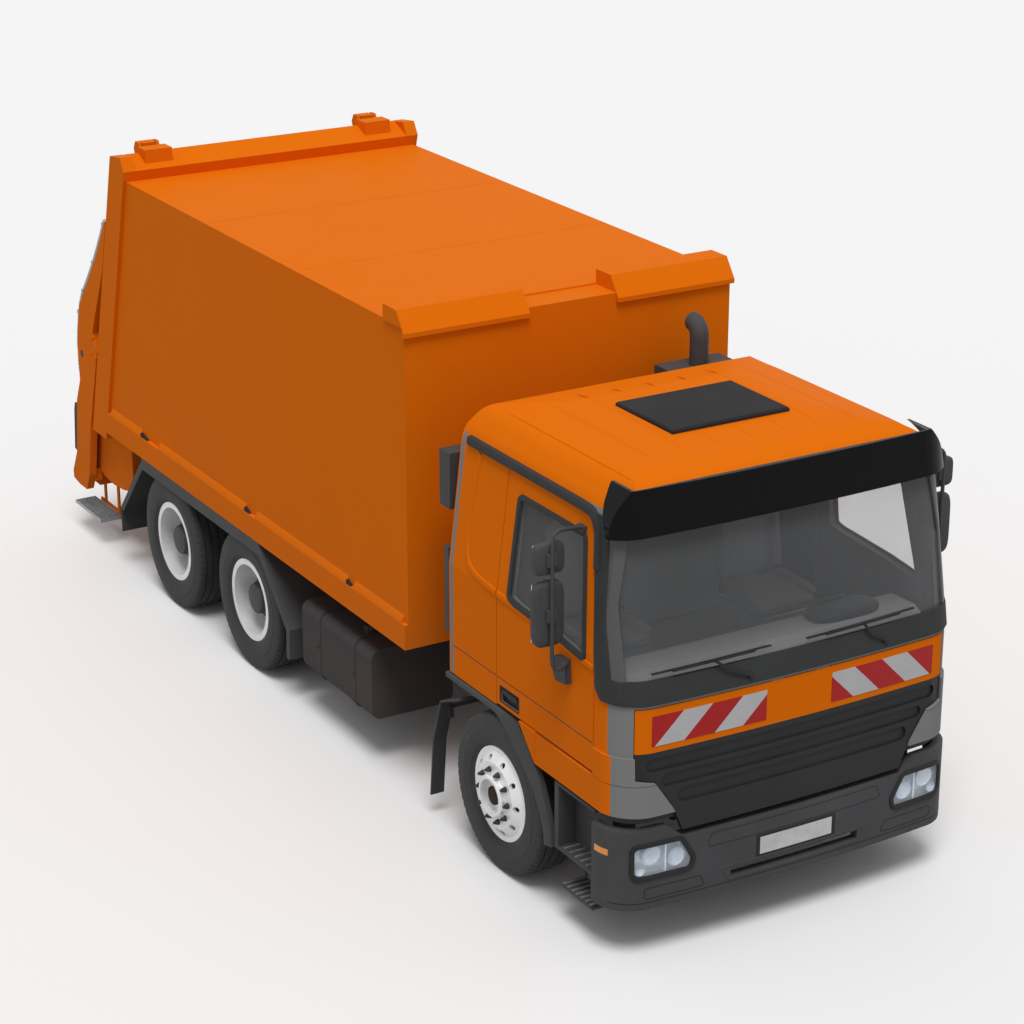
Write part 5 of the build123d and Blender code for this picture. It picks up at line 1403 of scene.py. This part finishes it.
def seat(name, x, side):
    """One seat in the place of its CAD stand-in: cushions, shell, rails, belt and buckle."""

    def spot(out, back, up):
        """A place counted from the seat's middle and its front."""
        return (x + out, seat_front + back, up)

    def slab(out, half_width, backs, ups):
        """A block between two distances back and two heights."""
        ends = zip((out - half_width, out + half_width), backs, ups)
        return block("slab", *[spot(*end) for end in ends])

    soft = [cushion(spot(0, 0.245, 1.548), LIE, (0.48, 0.49, 0.125), 0.010),
            cushion(spot(0, 0.520, 1.905), STAND, (0.455, 0.62, 0.12), 0.008),
            cushion(spot(0, 0.570, 2.300), STAND, (0.28, 0.16, 0.10), 0.006, 1)]
    hard = [slab(0, 0.225, (0.02, 0.47), (1.435, 1.500)), slab(0, 0.19, (0.07, 0.43), (1.142, 1.20)),
            slab(0, 0.13, (0.12, 0.38), (1.20, 1.435)),
            rounded_box("shell", spot(-0.205, 0.545, 1.62), spot(0.205, 0.615, 2.16), 4.0, 9, 24)]
    for way in (-1, 1):
        soft.append(cushion(spot(way * 0.195, 0.455, 1.86), ((0.85, 0, 0), *STAND[1:]), (0.075, 0.46, 0.10),
                            0.004, 1, 3.0, 36))
        soft.append(cushion(spot(way * 0.205, 0.235, 1.592), LIE, (0.070, 0.42, 0.085), 0.004, 1, 3.0, 36))
        hard.append(slab(way * 0.17, 0.018, (0.0, 0.50), (1.142, 1.162)))
        stalk = [spot(way * 0.06, 0.560, 2.16), spot(way * 0.06, 0.575, 2.30)]
        hard.append(swept("stalk", stalk, ring_profile(0.008, 10), ACROSS))
    padding = joined(f"{name}_cushions", soft, seat_cloth, "cab")
    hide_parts("seats")
    joined(f"{name}_shell", hard, trim_grey, "cab")
    strap = smooth_path([spot(side * 0.225, back, up) for back, up in BELT])
    shown(swept(f"{name}_belt", strap, flat_profile(0.0025, 0.046), ALONG), belt_web, "cab")
    buckle = rounded_box(f"{name}_buckle", spot(-side * 0.245 - 0.014, 0.36, 1.545),
                         spot(-side * 0.245 + 0.014, 0.41, 1.625), 4.0, 9, 20)
    shown(buckle, black_plastic, "cab")


seat("driver_seat", 0.62, 1.0)
seat("crew_seat", -0.62, -1.0)
print("seats done")

# %% [markdown]
# The dashboard gets its instrument hood, vents, a console and a wheel with a round rim; the cab's
# rear wall and roof are lined, with a shelf over the windscreen.

# %% Dashboard and lining
VENTS = (-0.95, -0.35, 0.20, 0.98)
trim = [rounded_box("hood", (0.36, at(0.33), 1.690), (0.86, at(0.56), 1.765), 3.0, 13, 36),
        block("console", (-0.28, at(0.52), 1.142), (0.10, at(0.66), 1.560))]
for vent_x in VENTS:
    low_x, high_x = vent_x - 0.07, vent_x + 0.07
    loop = rounded_loop([(low_x, 1.580), (high_x, 1.580), (high_x, 1.640), (low_x, 1.640)], 0.01)
    centre = np.stack([loop[:, 0], np.full(len(loop), at(0.628)), loop[:, 1]], -1)
    trim.append(banded("vent", centre, np.tile((0.0, 1.0, 0.0), (len(loop), 1)), 0.014, 0.010))
    for up in (1.595, 1.610, 1.625):
        low, high = (vent_x - 0.066, at(0.620), up - 0.002), (vent_x + 0.066, at(0.634), up + 0.002)
        trim.append(block("slat", low, high))
beveled(joined("dashboard_trim", trim, black_plastic, "cab"))

WHEEL_CENTRE = np.array([0.560, at(0.700), 1.660])
WHEEL_AXIS = unit(np.array([0.0, 0.55, 1.0]))
cos, sin = circle(64)
radial = cos[:, None] * ACROSS + sin[:, None] * np.cross(WHEEL_AXIS, ACROSS)
rim_path = WHEEL_CENTRE + 0.213 * radial + WHEEL_AXIS * 0.010
ring = ring_profile(0.016)
rim_grid = rim_path[:, None] + radial[:, None] * ring[None, :, :1] + WHEEL_AXIS * ring[None, :, 1:]
shown(grid_piece("steering_rim", rim_grid, True, False), black_plastic, "cab")

WALL = at(1.979)
lining = [block("wall", (-1.055, WALL - 0.012, 1.16), (1.055, WALL, 2.60))]
lining += [rounded_box("pad", (x - 0.30, WALL - 0.040, 1.75), (x + 0.30, WALL - 0.008, 2.45), 6.0, 9, 36)
           for x in (-0.70, 0.0, 0.70)]
lining.append(block("shelf", (-0.98, at(0.40), 2.640), (0.98, at(0.74), 2.665)))
lining.append(block("shelf_face", (-0.98, at(0.735), 2.640), (0.98, at(0.75), 2.76)))
joined("cab_lining", lining, cabin_lining, "cab")
print("cab interior done")


# %% [markdown]
# ## Wheel arches and steps
#
# A dark moulding follows each front wheel arch.  Its inner edge is a circle about the axle with
# room for the tyre at full lock, and its outer edge is a rounded path over it.

# %% Arch mouldings
AXLE_BACK = centre_of("tyre_front_left")[1] - FRONT
ARCH_RADIUS = 0.550
ARCH_REAR = 2.060
ARCH_OUTER = [(0.785, 0.446), (0.800, 0.560), (0.868, 0.700), (0.915, 0.810), (1.010, 0.925), (1.11, 1.043),
              (1.220, 1.112), (1.60, 1.113), (ARCH_REAR, 1.110)]
ARCH_CORNER = [(at(0.983), 0.924), (at(0.983), 1.126), (at(1.168), 1.126)]


def arch_levels():
    """Distances from the middle, each with its (back, up) line: the outer path's first, the inner's last."""
    outer = smooth_path(ARCH_OUTER, 3)
    share = np.linspace(0, 1, len(outer))
    low = math.asin((0.446 - WHEEL_UP) / ARCH_RADIUS)
    angle = low + (math.pi / 2 - low) * np.minimum(share / 0.66, 1.0)
    beyond = np.maximum(share - 0.66, 0.0) / 0.34
    back = AXLE_BACK - ARCH_RADIUS * np.cos(angle) + beyond * (ARCH_REAR - AXLE_BACK)
    up = np.minimum(WHEEL_UP + ARCH_RADIUS * np.sin(angle), outer[:, 1] - 0.018)
    inner = np.stack([np.maximum(back, outer[:, 0] + 0.010 * (up < 1.0)), up], -1)
    return [(1.190, outer), (1.228, outer), (1.235, outer * 0.85 + inner * 0.15),
            (1.235, outer * 0.12 + inner * 0.88), (1.229, inner), (1.190, inner)]


step_up = box_of("entry_steps")[0][2]
for side_name, side in SIDES.items():
    shown(prism(f"arch_corner_{side_name}", ARCH_CORNER, side * 1.190, side * 1.233), orange, "cab")
    grid = np.stack([np.stack([np.full(len(line), side * x), at(line[:, 0]), line[:, 1]], -1)
                     for x, line in arch_levels()], 1)
    shown(grid_piece(f"arch_moulding_{side_name}", grid), dark_plastic, "chassis")
    treads = []
    for rows, inner, outer, depth, up in ((np.linspace(0.36, 0.66, 7), 1.060, 1.215, 0.018, step_up + 0.0150),
                                          (np.linspace(0.37, 0.68, 6), 1.030, 1.200, 0.014, 0.4745)):
        for row in rows:
            low, high = (side * inner, at(row), up), (side * outer, at(row + depth), up + 0.0055)
            treads.append(block("rib", low, high))
    joined(f"step_treads_{side_name}", treads, galvanised, "chassis")
print("arches and steps done")

# %% [markdown]
# ## Rear hubs
#
# The twin wheels' discs lie deep inside, so their hubs reach out through them: a turned drum, a
# step, a domed cap and a ring of bolts around its flange.

# %% Hubs
HUB = [(0.06, 0.0), (0.06, 0.150), (0.180, 0.146), (0.188, 0.140), (0.190, 0.118), (0.240, 0.112),
       (0.252, 0.104), (0.259, 0.060), (0.263, 0.0)]
FLANGE_OUT, HUB_BOLT_RING = 0.190, 0.129


def bolt_ring(count, radius, centre, start, end, bolt_radius):
    """Hexagonal bolts on a circle about an axle: centre plus radius times cosine and sine."""
    places = [centre + radius * np.array([0, cos, sin]) for cos, sin in zip(*circle(count))]
    return [disc("bolt", start, end, bolt_radius, place, "x", 6) for place in places]


for axle in ("middle", "rear"):
    for side_name, side in SIDES.items():
        place = f"{axle}_{side_name}"
        centre = centre_of(f"tyres_{place}")
        drum = turned("drum", [(side * out, radius) for out, radius in HUB], centre)
        flange = centre + (side * FLANGE_OUT, 0, 0)
        bolts = bolt_ring(10, HUB_BOLT_RING, flange, side * -0.004, side * 0.009, 0.009)
        joined(f"hub_{place}", [drum] + bolts, cast_hub, f"wheel_{place}")
print("hubs done")

# %% [markdown]
# ## Tank, battery box and guards
#
# The tank's cap has finger notches, its straps end in bolts, and the battery box has a lid with
# two latches.

# %% Tank and box details
CAP_X, CAP_Y = -1.05, at(3.425)
CAP_LEVELS = [(0.845, 0.0), (0.845, 0.052), (0.880, 0.052), (0.888, 0.046), (0.888, 0.0)]
TANK_FACE = -1.2265
cos, sin = circle(60)
notch = 1 - 0.06 * (np.cos(np.linspace(0, 2 * np.pi, 60, endpoint=False) * 12) > 0.3)
rings = [np.stack([CAP_X + radius * notch * cos, CAP_Y + radius * notch * sin, np.full_like(cos, up)], -1)
         for up, radius in CAP_LEVELS]
shown(grid_piece("tank_cap", np.stack(rings), False, False), black_plastic, "chassis")
fittings = []
for back in (3.365, 3.880):
    fittings.append(disc("bolt", -0.012, 0.010, 0.012, (TANK_FACE, at(back), 0.60), "x", 6))
    low, high = (TANK_FACE - 0.001, at(back - 0.018), 0.56), (TANK_FACE + 0.002, at(back + 0.018), 0.64)
    fittings.append(block("plate", low, high))
for up in (0.43, 0.745):
    fittings.append(block("seam", (-1.2212, at(3.125), up), (-1.2188, at(4.120), up + 0.006)))
joined("strap_bolts", fittings, tank_grey, "chassis")
low, high = box_of("battery_box")
lid = [block("lid", low * (1, 1, 0) + (0.20, 0.02, high[2] - 0.004), high + (-0.03, -0.02, 0.012))]
lid += [block("latch", (high[0] - 0.004, y - 0.03, 0.70), (high[0] + 0.010, y + 0.03, 0.79))
        for y in (low[1] + 0.18, high[1] - 0.18)]
beveled(joined("battery_lid", lid, dark_plastic, "chassis"))
print("tank details done")

# %% [markdown]
# ## The refuse body
#
# The roof has two welded seams, and the ledge along the foot carries sloped strips with small black
# blocks between them.  Between the hoods a thin folded sheet closes the gap at the roof's edge.

# %% Body seams, ledges and the folded sheet
ROOF = box_of("body_roof")[1][2]
BODY_SIDE = box_of("body_sides")[1][0]
SHEET = [(-0.330, 2.86), (-0.06, 3.13), (-0.02, 2.86), (0.330, 2.86), (0.330, 2.80), (-0.330, 2.80)]
seams = []
for back in (4.10, 5.52):
    path = np.stack(spread(np.linspace(-BODY_SIDE + 0.02, BODY_SIDE - 0.02, 30), at(back), ROOF), -1)
    seams.append(banded("seam", path, np.tile((0.0, 0.0, 1.0), (30, 1)), 0.012, 0.0022, False))
joined("roof_seams", seams, body_orange, "chassis")
strips, blocks = [], []
for side in SIDES.values():
    inner, outer = side * (BODY_SIDE - 0.004), side * 1.2495
    for start, end in ((2.62, 3.30), (3.40, 4.81), (4.99, 6.52), (6.86, 7.46)):
        section = [(inner, 1.229), (outer, 1.229), (outer, 1.238), (inner, 1.290)]
        strips.append(prism("strip", section, at(start), at(end), "y"))
    for start, end in ((3.33, 3.40), (4.90, 4.99), (6.72, 6.86)):
        outline = [(at(start), 1.229), (at(end), 1.229), (at(end), 1.262)]
        blocks.append(prism("block", outline, side * (BODY_SIDE - 0.003), side * 1.2450))
joined("ledge_strips", strips, body_orange, "chassis")
joined("ledge_blocks", blocks, chassis_black, "chassis")
sheet = prism("roof_fold", [(x, at(back)) for x, back in SHEET], ROOF - 0.001, ROOF + 0.012, "z")
shown(sheet, body_orange, "chassis")
print("body details done")

# %% [markdown]
# ## Tailgate
#
# The grab rails are corrugated tubes: the radius swells and shrinks with the distance along the
# path.  Each stands off the side plate on short legs.

# %% Grab rails
GATE_RUN = [(7.345, 2.830), (7.601, 2.453), (7.824, 2.182), (7.984, 2.007), (8.073, 1.688), (8.065, 1.353)]
EDGES = list(zip(GATE_RUN[:-1], GATE_RUN[1:]))
STAND_OFF = 0.048
RAIL_OUT = 1.220


def off_edge(edge, share, clear):
    """A (back, up) point part of the way along an edge, moved square away from it."""
    start, end = np.array(edge)
    run = end - start
    return start + share * run + unit(np.array([-run[1], run[0]])) * clear


stations = [off_edge(EDGES[0], 0.1, STAND_OFF)] + [off_edge(edge, 0.97, STAND_OFF) for edge in EDGES[:-1]]
stations.append(off_edge(EDGES[-1], 0.8, STAND_OFF))
for side_name, side in SIDES.items():
    rail_x = side * RAIL_OUT
    line = smooth_path([(rail_x, at(back), up) for back, up in stations], 3)
    run = np.concatenate([[0], np.cumsum(np.linalg.norm(np.diff(line, axis=0), axis=1))])
    length = np.arange(0, run[-1], 0.005)
    path = np.stack([np.interp(length, run, line[:, axis]) for axis in range(3)], -1)
    out_side, out_top = frames_along(path, ACROSS)
    ring = ring_profile(1.0)
    radius = (0.0150 + 0.0020 * np.sign(np.sin(length * 2 * np.pi / 0.026)))[:, None, None]
    offsets = out_side[:, None] * ring[None, :, :1] + out_top[:, None] * ring[None, :, 1:]
    rails = [grid_piece("tube", path[:, None] + radius * offsets)]
    for edge, share in zip(EDGES[:4], (0.2, 0.25, 0.5, 0.3)):
        ends = [off_edge(edge, share, clear) for clear in (STAND_OFF, -0.004)]
        leg = [(rail_x, at(back), up) for back, up in ends]
        rails.append(swept("leg", leg, ring_profile(0.011), ACROSS))
        rails.append(disc("flange", -0.016, 0.016, 0.020, leg[0]))
    rail = joined(f"grab_rail_{side_name}", rails, galvanised, "tailgate")
    if side_name == "right":
        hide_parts("tailgate_handrails")
print("grab rails done")

# %% [markdown]
# Each tail lamp gets three round lenses in red, amber and clear on its dark strip.  A lens is a
# shallow dome over concentric rings.

# %% Tail lamps
LENS_RADIUS, LENS_HEIGHT, LENS_BASE = 0.036, 0.012, -0.006


def lens_finish(name, colour):
    """A coloured lens with crossed ribs: the product of two waves over the diagonals."""
    finish = Finish(name)
    x, _, up = finish.axes()
    ribs = ((x + up) * 900.0).sine() * ((x - up) * 900.0).sine()
    tone = finish.mixed(finish.noise(40.0), colour, tuple(0.75 * c for c in colour))
    return finish.surface(Base_Color=tone, Roughness=ribs * 0.05 + 0.15, Coat_Weight=0.5,
                          Normal=finish.bump(ribs, 0.0008, 0.5))


red_lens = lens_finish("red_lens", (0.42, 0.004, 0.004))
clear_lens = lens_finish("clear_lens", (0.75, 0.77, 0.80))
dome = [(LENS_BASE, 0.0), (LENS_BASE, LENS_RADIUS)]
dome += [(LENS_HEIGHT * (1 - share**2), LENS_RADIUS * share) for share in np.linspace(1.0, 0.0, 8)]
for side_name, side in SIDES.items():
    for index, (up, material) in enumerate(((1.02, red_lens), (0.92, amber), (0.82, clear_lens))):
        place = (side * 1.195, at(8.232 + (1.060 - up) * (0.036 / 0.345)), up)
        shown(turned(f"tail_lens_{index}_{side_name}", dome, place, "y", 32), material, "tailgate")
print("tail lamps done")

# %% [markdown]
# The footboards are gratings: flat bars set on edge both ways between a frame, with straps over
# the hangers.

# %% Footboard gratings
for side_name, side in SIDES.items():
    node = f"footboard_{side_name}"
    low, high = box_of(node)
    inner = min(abs(low[0]), abs(high[0])) + 0.012
    outer = max(abs(low[0]), abs(high[0]))
    bars = [((x - 0.0015, low[1] + 0.004, high[2] - 0.0245), (x + 0.0015, high[1] - 0.004, high[2]))
            for x in np.linspace(inner + 0.006, outer - 0.006, 8)]
    bars += [((inner + 0.004, y - 0.0015, high[2] - 0.022), (outer - 0.004, y + 0.0015, high[2] - 0.001))
             for y in np.linspace(low[1] + 0.03, high[1] - 0.03, 18)]
    bars += [((inner, y - 0.002, low[2]), (outer, y + 0.002, high[2]))
             for y in (low[1] + 0.002, high[1] - 0.002)]
    bars += [((x, low[1], low[2]), (x + 0.003, high[1], high[2])) for x in (inner, outer - 0.003)]
    bars.append(((inner - 0.028, low[1] + 0.066, high[2] - 0.010), (inner, high[1] - 0.096, high[2] - 0.002)))
    bars = [block("bar", (side * a[0], *a[1:]), (side * b[0], *b[1:])) for a, b in bars]
    grating = joined(f"grating_{side_name}", bars, galvanised, node)
    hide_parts(node)
print("gratings done")

# %% [markdown]
# Small things on the tailgate: a black control knob on each side plate, a rubber lip on the
# hopper's sill, and bolts around the packer shaft's bearing.

# %% Tailgate fittings
KNOB = [(-0.004, 0.0), (-0.004, 0.030), (0.006, 0.034), (0.006, 0.0)]
LIP = [(-0.020, -0.010), (0.020, -0.010), (0.020, 0.006), (0.012, 0.012), (-0.012, 0.012), (-0.020, 0.006)]
small, bolts = [], []
for side in SIDES.values():
    small.append(turned("knob", KNOB, (side * 1.2465, at(7.985), 1.600), "x", 24))
    small.append(block("switch_box", (side * 1.200, at(7.995), 1.50), (side * 1.2485, at(8.058), 1.58)))
    bolts += bolt_ring(8, 0.085, np.array([side * 1.2485, at(7.715), 1.720]), -0.010, 0.0012, 0.010)
joined("control_knobs", small, black_plastic, "tailgate")
joined("bearing_bolts", bolts, body_orange, "tailgate")
sill_path = [(x, at(8.1455), 1.170) for x in np.linspace(-1.12, 1.12, 12)]
shown(swept("sill_lip", sill_path, LIP), seal_rubber, "tailgate")
print("tailgate fittings done")
